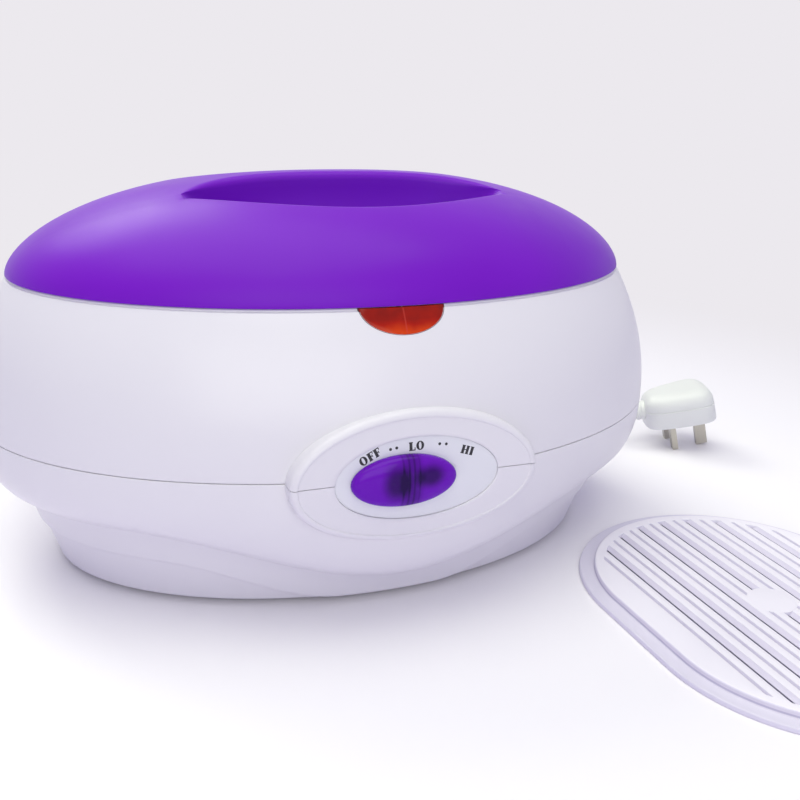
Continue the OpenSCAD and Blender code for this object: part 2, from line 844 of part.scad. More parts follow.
lamp_y = -105.1;
lamp_z = 149.2;
lamp_space = 9;
module indicator_lamps() {
    color([1.0, 0.55, 0.2])
    for (s = [-1, 1]) translate([s * lamp_space - lamp_l / 2, lamp_y, lamp_z]) rotate([0, 90, 0])
        cylinder(r = lamp_r, h = lamp_l);
}

holder_w = 26;
holder_low = 146;
module lamp_holder() {
    color([0.92, 0.92, 0.9])
    translate([-holder_w / 2, lamp_y + lamp_r + 0.1, holder_low])
        cube([holder_w, lens_room_y - 0.15 - lamp_y - lamp_r - 0.1, 6]);
}

// Tank and heater

flange_z = ledge_z + gasket_t;
tank_profile = let (
    bottom = tank_a - tank_lean, c = tank_corner, zi = tank_floor_z, top = flange_z + tank_t)
    concat(
        [[0, zi]],
        [for (i = [0 : 6]) let (q = -90 + i * 14) [bottom - c + c * cos(q), zi + c + c * sin(q)]],
        [[tank_a, top], [flange_a, top], [flange_a, flange_z], [tank_a + tank_t, flange_z]],
        [for (i = [6 : -1 : 0]) let (q = -90 + i * 14)
         [bottom - c + (c + tank_t) * cos(q), zi + c + (c + tank_t) * sin(q)]],
        [[0, zi - tank_t]]);

stud_x = 70;
stud_y = 34;
stud_l = 16;
module at_studs() {
    for (sx = [-1, 1]) for (sy = [-1, 1]) translate([sx * stud_x, sy * stud_y, 0]) children();
}

tank_under = tank_floor_z - tank_t;
module wax_tank() {
    color([0.8, 0.81, 0.83]) {
        scale([1, tank_k, 1]) rotate_extrude($fn = 128) polygon(tank_profile);
        at_studs() translate([0, 0, tank_under - stud_l]) cylinder(r = stud_r, h = stud_l + 0.5);
        translate([0, 0, tank_under - 10]) cylinder(r = 1.5, h = 10.5);
    }
}

module tank_gasket() {
    color([0.75, 0.3, 0.2])
    scale([1, tank_k, 1]) rotate_extrude($fn = 128)
        translate([ledge_a + 3, ledge_z + 0.02]) square([flange_a - ledge_a - 4, gasket_t - 0.04]);
}

band_low = 64;
band_high = 132;
module insulation_band() {
    slope = tank_lean / (flange_z - tank_floor_z - tank_corner);
    r0 = tank_a - tank_lean + tank_t + 0.7 + slope * (band_low - tank_floor_z - tank_corner);
    r1 = r0 + slope * (band_high - band_low);
    color([0.93, 0.9, 0.8])
    scale([1, tank_k, 1]) rotate_extrude($fn = 128)
        polygon([[r0, band_low], [r0 + band_t, band_low], [r1 + band_t, band_high], [r1, band_high]]);
}

element_z = tank_under - sheath_r - 0.1;
element_k = 0.60;
element_gap = 8;
module heating_element() {
    color([0.55, 0.55, 0.57]) {
        scale([1, element_k, 1]) rotate([0, 0, element_gap])
            rotate_extrude(angle = 360 - 2 * element_gap, $fn = 96)
                translate([element_a, 0]) translate([0, element_z]) circle(r = sheath_r, $fn = 24);
        for (s = [-1, 1])
            translate([element_a * cos(element_gap), s * element_k * element_a * sin(element_gap), 0])
                translate([0, 0, element_z - 16]) cylinder(r = 2, h = 17);
    }
}

clamp_z = element_z - sheath_r - 0.1 - clamp_t;
module heater_plate() {
    color([0.7, 0.71, 0.72])
    translate([0, 0, clamp_z]) difference() {
        scale([1, element_k, 1]) cylinder(r = element_a + 8, h = clamp_t, $fn = 96);
        translate([0, 0, -1]) scale([1, 0.42, 1]) cylinder(r = 58, h = 5);
        at_studs() translate([0, 0, -1]) cylinder(r = stud_r + 0.2, h = 6);
        for (s = [-1, 1])
            translate([element_a * cos(element_gap), s * element_k * element_a * sin(element_gap), -1])
                cylinder(r = 4, h = 5);
    }
}

module tank_nuts() {
    color([0.75, 0.76, 0.78])
    at_studs() translate([0, 0, clamp_z - nut_t - 0.05]) difference() {
        cylinder(r = nut_af / sqrt(3), h = nut_t, $fn = 6);
        translate([0, 0, -1]) cylinder(r = stud_r + 0.02, h = 6);
    }
}

fuse_r = 2.2;
fuse_l = 24;
module thermal_fuse() {
    color([0.9, 0.88, 0.8])
    translate([-fuse_l / 2, 7, tank_under - fuse_r - 0.2]) rotate([0, 90, 0])
        cylinder(r = fuse_r, h = fuse_l);
}

module fuse_clip() {
    clip_z = tank_under - 2 * fuse_r - 0.2 - 1.1;
    color([0.72, 0.73, 0.75])
    difference() {
        union() {
            translate([-6, -5, clip_z]) cube([12, 16.5, 1]);
            translate([-6, 10.5, clip_z]) cube([12, 1, 2 * fuse_r + 1]);
            translate([0, 0, clip_z - 2.6]) cylinder(r = 3.2, h = 2.61, $fn = 6);
        }
        translate([0, 0, clip_z - 4]) cylinder(r = 1.5 + 0.03, h = 8);
    }
}

// Terminals and wires

block_x = 30;
block_y = 56;
block_l = 36;
block_w = 14;
block_h = 12;
block_z = 9;
module block_posts() {
    for (s = [-1, 1]) translate([block_x + s * 12, block_y, floor_z - 0.5])
        cylinder(r = 3, h = block_z - floor_z + 0.5 - 0.05);
}

module terminal_block() {
    color([0.94, 0.94, 0.92])
    translate([block_x - block_l / 2, block_y - block_w / 2, block_z]) difference() {
        cube([block_l, block_w, block_h]);
        for (i = [0 : 2]) translate([6 + 12 * i, block_w / 2, block_h - 4]) cylinder(r = 2.6, h = 5);
    }
}

wire_r = 1.2;
block_top = block_z + block_h - 3.6;
module wire(route, shade) {
    color(shade) tube(route, wire_r, 2, 8);
}

module wire_live() {
    wire([[71.5, 69.5, 25], [70, 60, 26], [62, 52, 28], [50, 50, 30], [43, 54, 28], [42, 56, 22],
          [42, 56, block_top]], [0.45, 0.25, 0.12]);
}

module wire_neutral() {
    wire([[68.5, 69.5, 25], [66, 62, 27], [56, 62, 31], [40, 66, 32], [32, 62, 30], [30, 57, 26],
          [30, 56, block_top]], [0.1, 0.3, 0.75]);
}

module wire_element() {
    wire([[18, 56, block_top], [18, 56, 24], [24, 44, 27], [50, 26, 22], [80, 12, 16], [element_a - 5, 8.8, 18],
          [element_a - 1, 8.8, 24], [element_a - 1, 8.8, element_z - 16.1]], [0.92, 0.92, 0.9]);
}

module wire_thermostat() {
    wire([[42, 48.8, 15], [42, 42, 15], [40, 10, 12], [28, -40, 12], [24, -70, 18],
          [22, -86, 30], [18, -97, 48], [12, -100, 62], [9, stat_back + 2, stat_top + 3]], [0.75, 0.1, 0.1]);
}

module wire_lamps() {
    wire([[-9, stat_back + 2, stat_top + 6], [-10, -106, 86], [-12, -108, 100], [-14, -107, 116], [-13, -105, 129],
          [-9, -103.2, 139], [-8, lens_room_y - 1.6, holder_low - 0.5]], [0.92, 0.92, 0.9]);
}

// Screws, feet and grille

module housing_screws() {
    color([0.72, 0.73, 0.75])
    at_screws() translate([0, 0, screw_seat_z - 2.6]) difference() {
        union() {
            cylinder(r = screw_head_r, h = 2.55);
            cylinder(r = screw_r, h = screw_l + 2.6);
        }
        for (q = [0, 90]) rotate([0, 0, q]) translate([-2.2, -0.45, -1]) cube([4.4, 0.9, 2.4]);
    }
}

feet_x = 100;
feet_y = 46;
module at_feet() {
    for (sx = [-1, 1]) for (sy = [-1, 1]) translate([sx * feet_x, sy * feet_y, 0]) children();
}

module rubber_feet() {
    color([0.25, 0.25, 0.27])
    at_feet() rotate_extrude()
        polygon([[0, 0], [foot_r - 0.8, 0], [foot_r, 0.8], [foot_r, base_z + 0.95], [0, base_z + 0.95]]);
}

grille_x = 183;
grille_y = -175;
module stadium(r, half) {
    translate([-r, -half]) square([2 * r, 2 * half]);
    for (s = [-1, 1]) translate([0, s * half]) circle(r = r, $fn = 96);
}

slot_zone = 71;
module grille() {
    color([0.93, 0.93, 0.94])
    translate([grille_x, grille_y, 0]) difference() {
        union() {
            linear_extrude(grille_ledge_t) stadium(grille_r, grille_half);
            linear_extrude(grille_h) stadium(grille_r - grille_ledge_w, grille_half);
        }
        difference() {
            translate([0, 0, -1]) linear_extrude(grille_h + 2) grille_slots();
            translate([0, 0, -2]) cylinder(r = hub_r, h = grille_h + 4);
        }
        grille_underside();
    }
}

slot_count = 7;
module grille_slots() {
    for (i = [-slot_count : slot_count]) {
        w = i % 2 == 0 ? slot_wide : slot_narrow;
        x = i * bar_pitch;
        reach = grille_half + sqrt(slot_zone * slot_zone - x * x) - 2;
        translate([x - w / 2, -reach]) square([w, 2 * reach]);
    }
}

skin_t = 2.2;
// The deck is a tray: its rim comes down to the table and the bars are ribs under a thin top
module grille_underside() {
    translate([0, 0, -1]) linear_extrude(grille_h - skin_t + 1) difference() {
        stadium(grille_r - grille_ledge_w - 3, grille_half);
        circle(r = hub_r);
        for (i = [-slot_count - 1 : slot_count]) translate([(i + 0.5) * bar_pitch - 0.9, -200])
            square([1.8, 400]);
        for (s = [-1, 1]) translate([-200, s * grille_half - 1]) square([400, 2]);
    }
}

lid();
upper_housing();
lower_housing();
control_plate();
slide_knob();
knob_carriage();
thermostat_lever();
thermostat_spindle();
thermostat_body();
thermostat_bracket();
bracket_screws();
indicator_lens();
indicator_lamps();
lamp_holder();
wax_tank();
tank_gasket();
insulation_band();
heating_element();
heater_plate();
tank_nuts();
thermal_fuse();
fuse_clip();
terminal_block();
wire_live();
wire_neutral();
wire_element();
wire_thermostat();
wire_lamps();
cord_clamp();
clamp_screws();
housing_screws();
rubber_feet();
strain_relief();
power_cord();
cord_coil();
plug_body();
plug_pins();
grille();
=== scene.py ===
"""Oval paraffin wax warmer: purple lid, white two-part body, slide knob, grille and mains lead."""

import math

import bpy
import numpy as np
from mathutils import Matrix, Vector


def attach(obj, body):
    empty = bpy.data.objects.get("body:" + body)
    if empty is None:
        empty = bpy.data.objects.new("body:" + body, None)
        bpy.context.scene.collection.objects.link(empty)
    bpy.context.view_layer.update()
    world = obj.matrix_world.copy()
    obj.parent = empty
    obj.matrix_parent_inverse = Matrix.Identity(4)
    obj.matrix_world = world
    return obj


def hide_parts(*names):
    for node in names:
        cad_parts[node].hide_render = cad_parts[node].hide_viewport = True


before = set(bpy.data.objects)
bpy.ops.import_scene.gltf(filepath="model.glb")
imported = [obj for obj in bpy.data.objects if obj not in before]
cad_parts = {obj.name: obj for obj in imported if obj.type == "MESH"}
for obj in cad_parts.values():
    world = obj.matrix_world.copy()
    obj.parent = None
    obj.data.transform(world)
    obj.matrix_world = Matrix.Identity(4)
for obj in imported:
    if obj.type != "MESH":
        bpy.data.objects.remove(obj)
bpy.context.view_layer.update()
MM = 0.001

# The view of the photograph, fitted to the body's seam, rim, base and lid outlines.
# A 45 mm lens on a 36 mm sensor stands about half a metre in front and a little above.
# The frame is square, and the camera is rolled by two degrees.

EYE = Vector((-164.93, -527.68, 260.33)) * MM
YAW = math.radians(-21.528)
PITCH = math.radians(18.570)
ROLL = math.radians(1.990)


def camera_turn(yaw, pitch, roll):
    """Columns are the camera's right, up and back, from a level right turned by the roll."""
    ahead = Vector((-math.sin(yaw) * math.cos(pitch), math.cos(yaw) * math.cos(pitch), -math.sin(pitch)))
    level = Vector((math.cos(yaw), math.sin(yaw), 0))
    upright = level.cross(ahead)
    right = math.cos(roll) * level + math.sin(roll) * upright
    up = -math.sin(roll) * level + math.cos(roll) * upright
    return Matrix((right, up, -ahead)).transposed()


camera_data = bpy.data.cameras.new("camera")
camera_data.lens = 45
camera_data.sensor_width = 36
camera_data.sensor_fit = "HORIZONTAL"
camera_data.clip_start = 0.01
camera = bpy.data.objects.new("camera", camera_data)
camera.matrix_world = Matrix.Translation(EYE) @ camera_turn(YAW, PITCH, ROLL).to_4x4()
bpy.context.scene.collection.objects.link(camera)
bpy.context.scene.camera = camera


# The studio: a pale matt floor that fades into a pale backdrop, and three soft lamps.
# The camera sees the backdrop at its own colour, and the floor keeps the object's shadow. The
# floor throws a violet tone back at what stands on it, as the table does in the photograph.

FLOOR_COLOUR = "#FCFBFA"
BACKDROP_COLOUR = "#ECE9EE"
BOUNCE_COLOUR = "#EBE5F8"
WORLD_COLOUR = "#C4BCFF"
LAMP_COLOUR = "#FDFFEE"
FADE_START = 0.34
FADE_END = 0.75
FLOOR_REACH = 3200.0


def srgb(code):
    """The linear RGBA of an sRGB hex colour."""
    parts = np.array([int(code[i:i + 2], 16) for i in (1, 3, 5)]) / 255
    linear = np.where(parts <= 0.04045, parts / 12.92, ((parts + 0.055) / 1.055) ** 2.4)
    return (*linear.tolist(), 1.0)


def add_node(tree, kind, settings=None, links=None):
    """Adds one node. settings are its attributes and its inputs' values, and links are its inputs' sockets.

    An input goes by its name, or by its number where names repeat.
    """
    node = tree.nodes.new(kind)
    for key, value in (settings or {}).items():
        if isinstance(key, int) or key in node.inputs:
            node.inputs[key].default_value = value
        else:
            setattr(node, key, value)
    for key, socket in (links or {}).items():
        tree.links.new(socket, node.inputs[key])
    return node


def finish_of(name, colour, roughness, **inputs):
    """A new material with one Principled shader, and the shader and tree to add detail to."""
    material = bpy.data.materials.new(name)
    material.use_nodes = True
    tree = material.node_tree
    shader = tree.nodes["Principled BSDF"]
    shader.inputs["Base Color"].default_value = srgb(colour)
    shader.inputs["Roughness"].default_value = roughness
    for key, value in inputs.items():
        shader.inputs[key.replace("_", " ")].default_value = value
    return material, tree, shader


def grain(tree, shader, size, height, roughness=None):
    """Fine unevenness of a surface: noise of a grain size in metres lifts it by a height in metres.

    Where a roughness range is given, broad blotches 30 grains wide vary the roughness within it.
    """
    place = add_node(tree, "ShaderNodeTexCoord")
    noise = add_node(tree, "ShaderNodeTexNoise", {"Scale": 1 / size, "Detail": 3.0},
                     {"Vector": place.outputs["Object"]})
    bump = add_node(tree, "ShaderNodeBump", {"Strength": 1.0, "Distance": height},
                    {"Height": noise.outputs["Fac"]})
    tree.links.new(bump.outputs["Normal"], shader.inputs["Normal"])
    if roughness:
        blotch = add_node(tree, "ShaderNodeTexNoise", {"Scale": 1 / (size * 30), "Detail": 2.0},
                          {"Vector": place.outputs["Object"]})
        spread = add_node(tree, "ShaderNodeMapRange",
                          {"From Min": 0.3, "From Max": 0.7, "To Min": roughness[0], "To Max": roughness[1]},
                          {"Value": blotch.outputs["Fac"]})
        tree.links.new(spread.outputs["Result"], shader.inputs["Roughness"])
    return place


def mesh_piece(name, points, faces, material, sharp=30.0):
    """A mesh object from points in millimetres and lists of faces, shaded smooth below the sharp angle."""
    mesh = bpy.data.meshes.new(name)
    polygons = [face for group in faces for face in np.asarray(group).tolist()]
    mesh.from_pydata((np.asarray(points, float) * MM).tolist(), [], polygons)
    mesh.polygons.foreach_set("use_smooth", np.ones(len(mesh.polygons), bool))
    mesh.set_sharp_from_angle(angle=math.radians(sharp))
    mesh.materials.append(material)
    mesh.update()
    piece = bpy.data.objects.new(name, mesh)
    bpy.context.scene.collection.objects.link(piece)
    return piece


def area_lamp(name, place, target, size, power, colour):
    """A rectangular soft lamp at a place, facing a target, both in metres."""
    data = bpy.data.lights.new(name, "AREA")
    data.shape = "RECTANGLE"
    data.size, data.size_y = size
    data.energy = power
    data.color = srgb(colour)[:3]
    lamp = bpy.data.objects.new(name, data)
    aim = Vector(target) - Vector(place)
    lamp.matrix_world = Matrix.Translation(place) @ aim.to_track_quat("-Z", "Y").to_matrix().to_4x4()
    bpy.context.scene.collection.objects.link(lamp)


floor_finish, tree, shader = finish_of("matt_white_table", FLOOR_COLOUR, 0.55)
place = grain(tree, shader, 0.004, 0.00001)
span = add_node(tree, "ShaderNodeVectorMath", {"operation": "LENGTH"}, {"Vector": place.outputs["Object"]})
far = add_node(tree, "ShaderNodeMapRange",
               {"interpolation_type": "SMOOTHSTEP", "From Min": FADE_START, "From Max": FADE_END},
               {"Value": span.outputs["Value"]})
seen = add_node(tree, "ShaderNodeLightPath")
bounce = add_node(tree, "ShaderNodeMixRGB", {"Color1": srgb(FLOOR_COLOUR), "Color2": srgb(BOUNCE_COLOUR)},
                  {"Fac": seen.outputs["Is Diffuse Ray"]})
tree.links.new(bounce.outputs["Color"], shader.inputs["Base Color"])
fade = add_node(tree, "ShaderNodeMath", {"operation": "MULTIPLY"},
                {0: far.outputs["Result"], 1: seen.outputs["Is Camera Ray"]})
pale = add_node(tree, "ShaderNodeEmission", {"Color": srgb(BACKDROP_COLOUR), "Strength": 1.0})
swept = add_node(tree, "ShaderNodeMixShader", None,
                 {0: fade.outputs[0], 1: shader.outputs[0], 2: pale.outputs[0]})
tree.links.new(swept.outputs[0], tree.nodes["Material Output"].inputs["Surface"])
corners = [(x * FLOOR_REACH, y * FLOOR_REACH, 0) for x, y in ((-1, -1), (1, -1), (1, 1), (-1, 1))]
floor = mesh_piece("floor", corners, [[(0, 1, 2, 3)]], floor_finish)

world = bpy.data.worlds.new("studio")
bpy.context.scene.world = world
world.use_nodes = True
tree = world.node_tree
background = tree.nodes["Background"]
background.inputs["Color"].default_value = srgb(WORLD_COLOUR)
background.inputs["Strength"].default_value = 0.38
seen = add_node(tree, "ShaderNodeLightPath")
backdrop = add_node(tree, "ShaderNodeBackground", {"Color": srgb(BACKDROP_COLOUR), "Strength": 1.0})
direct = seen.outputs["Is Camera Ray"]
for other in ("Is Glossy Ray", "Is Transmission Ray"):
    direct = add_node(tree, "ShaderNodeMath", {"operation": "MAXIMUM"},
                      {0: direct, 1: seen.outputs[other]}).outputs[0]
chosen = add_node(tree, "ShaderNodeMixShader", None,
                  {0: direct, 1: background.outputs[0], 2: backdrop.outputs[0]})
tree.links.new(chosen.outputs[0], tree.nodes["World Output"].inputs["Surface"])

area_lamp("top_lamp", (-0.15, -0.15, 2.0), (0.0, -0.02, 0), (2.0, 1.8), 28, LAMP_COLOUR)
area_lamp("back_lamp", (-0.6, 1.5, 1.7), (-0.05, 0, 0.1), (1.2, 0.9), 17, LAMP_COLOUR)
area_lamp("front_lamp", (-0.35, -1.6, 0.9), (0.03, 0, 0.08), (1.5, 1.2), 11.5, LAMP_COLOUR)
bpy.context.scene.view_settings.view_transform = "Standard"


# The mains lead: a 7 mm round white PVC flex, about 1.5 m long, from the gland in the back
# to the plug. The photograph shows only the plug, so the rest is wound up behind the body.
# Its route is in millimetres here, as in the part's source, with the coil by formula.

LEAD_D = 7.0
TO_COIL = [
    (70, 102.5, 25), (70, 112, 25), (70, 123, 25), (70, 134, 25), (70, 148, 23), (72, 161, 16),
    (77, 175, 8.5), (88, 189, 4.6), (106, 198, 3.8), (128, 200.5, 3.6)]
TO_PLUG = [
    (195.6, 146, 10.6), (195.8, 137, 9.9), (196.7, 127, 7.7), (198.4, 115, 5.2), (201.2, 103, 4.2),
    (205.6, 91, 5), (212.2, 80, 8.2), (221.5, 70.5, 13.3), (232.3, 63.6, 18.7), (244, 59, 22)]
COIL_CENTRE = (150, 155)
COIL_TURNS = 5.25
OUTER_TURN = 45.5
LOW_TURN = 3.6
POINTS_PER_TURN = 24
STEPS_IN = ((0.7, 1.0), (1.7, 2.0))
STEPS_OUT = ((3.4, 3.7), (4.4, 4.7))
CLIMB = (2.55, 2.9)


def swing(value, start, end):
    """A smooth step from 0 to 1 as value goes from start to end."""
    t = np.clip((value - start) / (end - start), 0, 1)
    return t * t * (3 - 2 * t)


def coil_route():
    """Clockwise turns from the coil's far side, a lead's width apart.

    Three turns go inward on the floor. The third climbs before it comes round to its own start,
    and the upper turns go outward again to the coil's right side. Steps are given in turns.
    """
    turn = np.linspace(0, COIL_TURNS, int(COIL_TURNS * POINTS_PER_TURN) + 1)
    inward = sum(swing(turn, *step) for step in STEPS_IN)
    outward = sum(swing(turn, *step) for step in STEPS_OUT)
    radius = OUTER_TURN - LEAD_D * (inward - outward)
    height = LOW_TURN + LEAD_D * swing(turn, *CLIMB)
    angle = math.pi / 2 - 2 * math.pi * turn
    x = COIL_CENTRE[0] + radius * np.cos(angle)
    y = COIL_CENTRE[1] + radius * np.sin(angle)
    return np.stack([x, y, height], 1)


# Soft PVC: white with a fine matt grain, which spreads the highlight along each turn.
pvc_flex, tree, shader = finish_of("white_pvc_flex", "#F0EFF3", 0.42, Specular_IOR_Level=0.45)
grain(tree, shader, 0.0022, 0.00004, (0.36, 0.5))

route = np.concatenate([TO_COIL, coil_route(), TO_PLUG]) * MM
lead_curve = bpy.data.curves.new("mains_lead", "CURVE")
lead_curve.dimensions = "3D"
lead_curve.resolution_u = 5
lead_curve.bevel_depth = LEAD_D * MM / 2
lead_curve.bevel_resolution = 6
lead_curve.use_fill_caps = True
spline = lead_curve.splines.new("BEZIER")
spline.bezier_points.add(len(route) - 1)
spline.bezier_points.foreach_set("co", route.ravel())

# Each point's handles lie along the mean of its two stretches, a third of each stretch long.
stretch = np.diff(route, axis=0)
size = np.linalg.norm(stretch, axis=1, keepdims=True)
way = stretch / size
heading = np.concatenate([way[:1], way[:-1] + way[1:], way[-1:]])
heading /= np.linalg.norm(heading, axis=1, keepdims=True)
before = route - heading * np.concatenate([size[:1], size]) / 3
after = route + heading * np.concatenate([size, size[-1:]]) / 3
spline.bezier_points.foreach_set("handle_left", before.ravel())
spline.bezier_points.foreach_set("handle_right", after.ravel())
lead_curve.materials.append(pvc_flex)
mains_lead = bpy.data.objects.new("mains_lead", lead_curve)
bpy.context.scene.collection.objects.link(mains_lead)
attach(mains_lead, "base")
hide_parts("power_cord", "cord_coil")


# The moulded strain relief: a ribbed PVC sleeve on the lead, held in the gland of the back.
# It tapers from 16 mm to 9 mm across over 32 mm, and its slots let it bend.

SLEEVE_ROOT = 102.3
SLEEVE_TIP = 134.6
SLEEVE_WIDE = 7.9
SLEEVE_TAPER = 3.2
GLAND = (70, 0, 25)
SLEEVE_SIDES = 48


def grid_faces(rows, columns, wrap=False, keep=None):
    """The four-cornered faces of a grid of points, row by row, closed in its columns where wrap is true."""
    index = np.arange(rows * columns).reshape(rows, columns)
    right = np.roll(index, -1, 1) if wrap else index[:, 1:]
    left = index if wrap else index[:, :-1]
    faces = np.stack([left[:-1], right[:-1], right[1:], left[1:]], 2)
    return faces[keep] if keep is not None else faces.reshape(-1, 4)


def ends(rows, columns):
    """The two faces that close the first and last ring of a grid."""
    ring = np.arange(columns)[None]
    return [ring[:, ::-1], ring + columns * (rows - 1)]


def turned(profile, sides):
    """A profile of (radius, height) pairs carried round the z axis: its points, and groups of faces.

    The second and third groups close its first and last rings.
    """
    profile = np.asarray(profile, float)
    angle = np.arange(sides) * 2 * math.pi / sides
    ring = np.stack([np.cos(angle), np.sin(angle)], 1)
    heights = np.repeat(profile[:, None, 1:], sides, 1)
    points = np.concatenate([profile[:, None, :1] * ring[None], heights], 2)
    return points.reshape(-1, 3), [grid_faces(len(profile), sides, wrap=True), *ends(len(profile), sides)]


def groove_depth(station, count, depth, margin):
    """A ribbed sleeve's grooves: the square root of a sine wave's upper halves, none near the ends."""
    wave = max(0.0, math.sin(station * count * 2 * math.pi)) ** 0.5
    return depth * wave if margin < station < 1 - margin else 0


sleeve = []
for station in np.linspace(0, 1, 61):
    body = SLEEVE_WIDE - SLEEVE_TAPER * station ** 0.8
    place = SLEEVE_ROOT + (SLEEVE_TIP - SLEEVE_ROOT) * station
    sleeve.append((body - groove_depth(station, 8, 0.75, 0.06), place))
sleeve += [(3.9, SLEEVE_TIP + 0.1), (3.4, SLEEVE_TIP - 0.6)]
points, groups = turned(sleeve, SLEEVE_SIDES)
points = points[:, [0, 2, 1]] * (1, 1, -1) + GLAND
strain_sleeve = mesh_piece("strain_sleeve", points, groups, pvc_flex, 40)
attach(strain_sleeve, "base")
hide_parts("strain_relief")


# The mains plug: a moulded block on three pins with its face down, tilted as its pins let it lie.
# Its sides are upright to a parting line and close in over it, and a ribbed boot takes the lead.

PLUG_PLACE = Matrix.Translation((283, 45, 19.83)) @ Matrix.Rotation(math.radians(-20), 4, "Z") \
    @ Matrix.Rotation(math.radians(-13.96), 4, "Y")
PLUG_BACK = -26.0
PLUG_FRONT = 24.0
PLUG_WIDE = 24.0
PLUG_NARROW = 17.0
PLUG_T = 24.0
PLUG_POWER = 0.55
PLUG_SIDES = 96
PARTING = 13.0
BOOT_TIP = -46.0
BOOT_LONG = 20.0


def plug_ring(height, inset):
    """A rounded outline with a narrow back, as an oval whose sides are pushed out by a power below 1."""
    turn = np.arange(PLUG_SIDES) * 2 * math.pi / PLUG_SIDES
    across = np.sign(np.cos(turn)) * np.abs(np.cos(turn)) ** PLUG_POWER
    aside = np.sign(np.sin(turn)) * np.abs(np.sin(turn)) ** PLUG_POWER
    x = (PLUG_BACK + PLUG_FRONT) / 2 + ((PLUG_FRONT - PLUG_BACK) / 2 - inset) * across
    half = (PLUG_WIDE + PLUG_NARROW) / 2 + (PLUG_WIDE - PLUG_NARROW) / 2 * across - inset
    return np.stack([x, half * aside, np.full(PLUG_SIDES, height)], 1)


def dress(node, material):
    """Gives one material to a CAD node's slots. Its mesh stays as it is."""
    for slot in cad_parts[node].material_slots:
        slot.material = material


# Rows of height and inset: the face, the side up to the parting groove, and the domed back.
plug_rows = [(0, 6.0), (0, 1.2), (0.35, 0.35), (1.2, 0)]
plug_rows += [(PARTING - 0.5, 0.25), (PARTING - 0.2, 0.7), (PARTING + 0.2, 0.7), (PARTING + 0.5, 0.35)]
for share in np.linspace(0.06, 1, 16):
    plug_rows.append((PARTING + (PLUG_T - PARTING) * math.sin(share * math.pi / 2) ** 0.9,
                      0.4 + 10.5 * (1 - math.cos(share * math.pi / 2)) ** 1.15))
plug_rows += [(PLUG_T, 12.5), (PLUG_T, 15.5)]
points = np.concatenate([plug_ring(height, inset) for height, inset in plug_rows])
groups = [grid_faces(len(plug_rows), PLUG_SIDES, wrap=True), *ends(len(plug_rows), PLUG_SIDES)]

boot = [(3.3, BOOT_TIP + 0.6), (4.6, BOOT_TIP)]
for station in np.linspace(0, 1, 46):
    boot.append((5.0 + 2.0 * station - groove_depth(station, 6, 0.7, 0.05), BOOT_TIP + BOOT_LONG * station))
boot += [(7.2, -25.0), (7.2, -21.0)]
boot_points, boot_groups = turned(boot, 40)
boot_points = boot_points[:, [2, 1, 0]] * (1, 1, -1) + (0, 0, PLUG_T / 2)
groups += [faces + len(points) for faces in boot_groups]
points = np.concatenate([points, boot_points])
turn = np.array(PLUG_PLACE)
points = points @ turn[:3, :3].T + turn[:3, 3]

# Moulded PVC is a little greener and glossier than the lead. The pins are plated brass, drawn bright.
plug_pvc, tree, shader = finish_of("moulded_plug_pvc", "#E4E8E0", 0.36, Specular_IOR_Level=0.45)
grain(tree, shader, 0.0018, 0.00002, (0.32, 0.44))
mains_plug = mesh_piece("mains_plug", points, groups, plug_pvc, 40)
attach(mains_plug, "base")
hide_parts("plug_body")
pin_nickel, tree, shader = finish_of("nickel_plated_brass", "#B4B0A8", 0.3, Metallic=1.0)
grain(tree, shader, 0.0008, 0.000006, (0.22, 0.42))
dress("plug_pins", pin_nickel)


# The lid: one deep cover moulded in satin purple ABS, 2.2 mm thick, that drops on the rim.
# Two finger scoops leave a thin ridge between them as the handle. A rib below locates it.

LID_A = 170.5
LID_B = 108.5
LID_FOOT = 154.8
LID_RISE = 50.0
LID_WALL = 2.2
SCOOP_HALF = 87.0
SCOOP_FLOOR = 168.3
TIP_HALF = 4.2
LIP_ROUND = 2.4
RIDGE_ROUND = 4.0
TIP_FADE = 0.32
BOW_START = 0.56
BOW_FOOT = 0.34
RIB_FOOT = 153.0
RIB_A = 165.5
RIB_B = 103.5
RIB_WALL = 1.8
RIB_SIDES = 180


def dome_height(x, y):
    """Height of the dome over its oval: a superellipse of power 2.46 outward and 1.62 upward."""
    rho = np.sqrt((x / LID_A) ** 2 + (y / LID_B) ** 2)
    return LID_FOOT + LID_RISE * np.clip(1 - rho ** 2.46, 0, 1) ** (1 / 1.62)


def scoop_edges(x):
    """The scoop's front lip, a parabola, and its ridge edge, a superellipse.

    Near the tips they are kept apart by TIP_HALF each way, and past the tips they run on to the rim
    and close up with the dome's width.
    """
    part = np.clip(np.abs(x) / SCOOP_HALF, 0, 1)
    lip = -66 + 0.0044 * np.minimum(np.abs(x), SCOOP_HALF) ** 2
    ridge = -32.7 + 24.7 * (1 - part ** 4) ** (1 / 1.3)
    shrink = np.sqrt(np.clip(1 - (x / LID_A) ** 2, 0.002, 1)) / math.sqrt(1 - (SCOOP_HALF / LID_A) ** 2)
    shrink = np.where(np.abs(x) > SCOOP_HALF, shrink, 1)
    middle = (lip + ridge) / 2 * shrink
    half = np.hypot((ridge - lip) / 2, TIP_HALF * part ** 6) * shrink
    return middle - half, middle + half


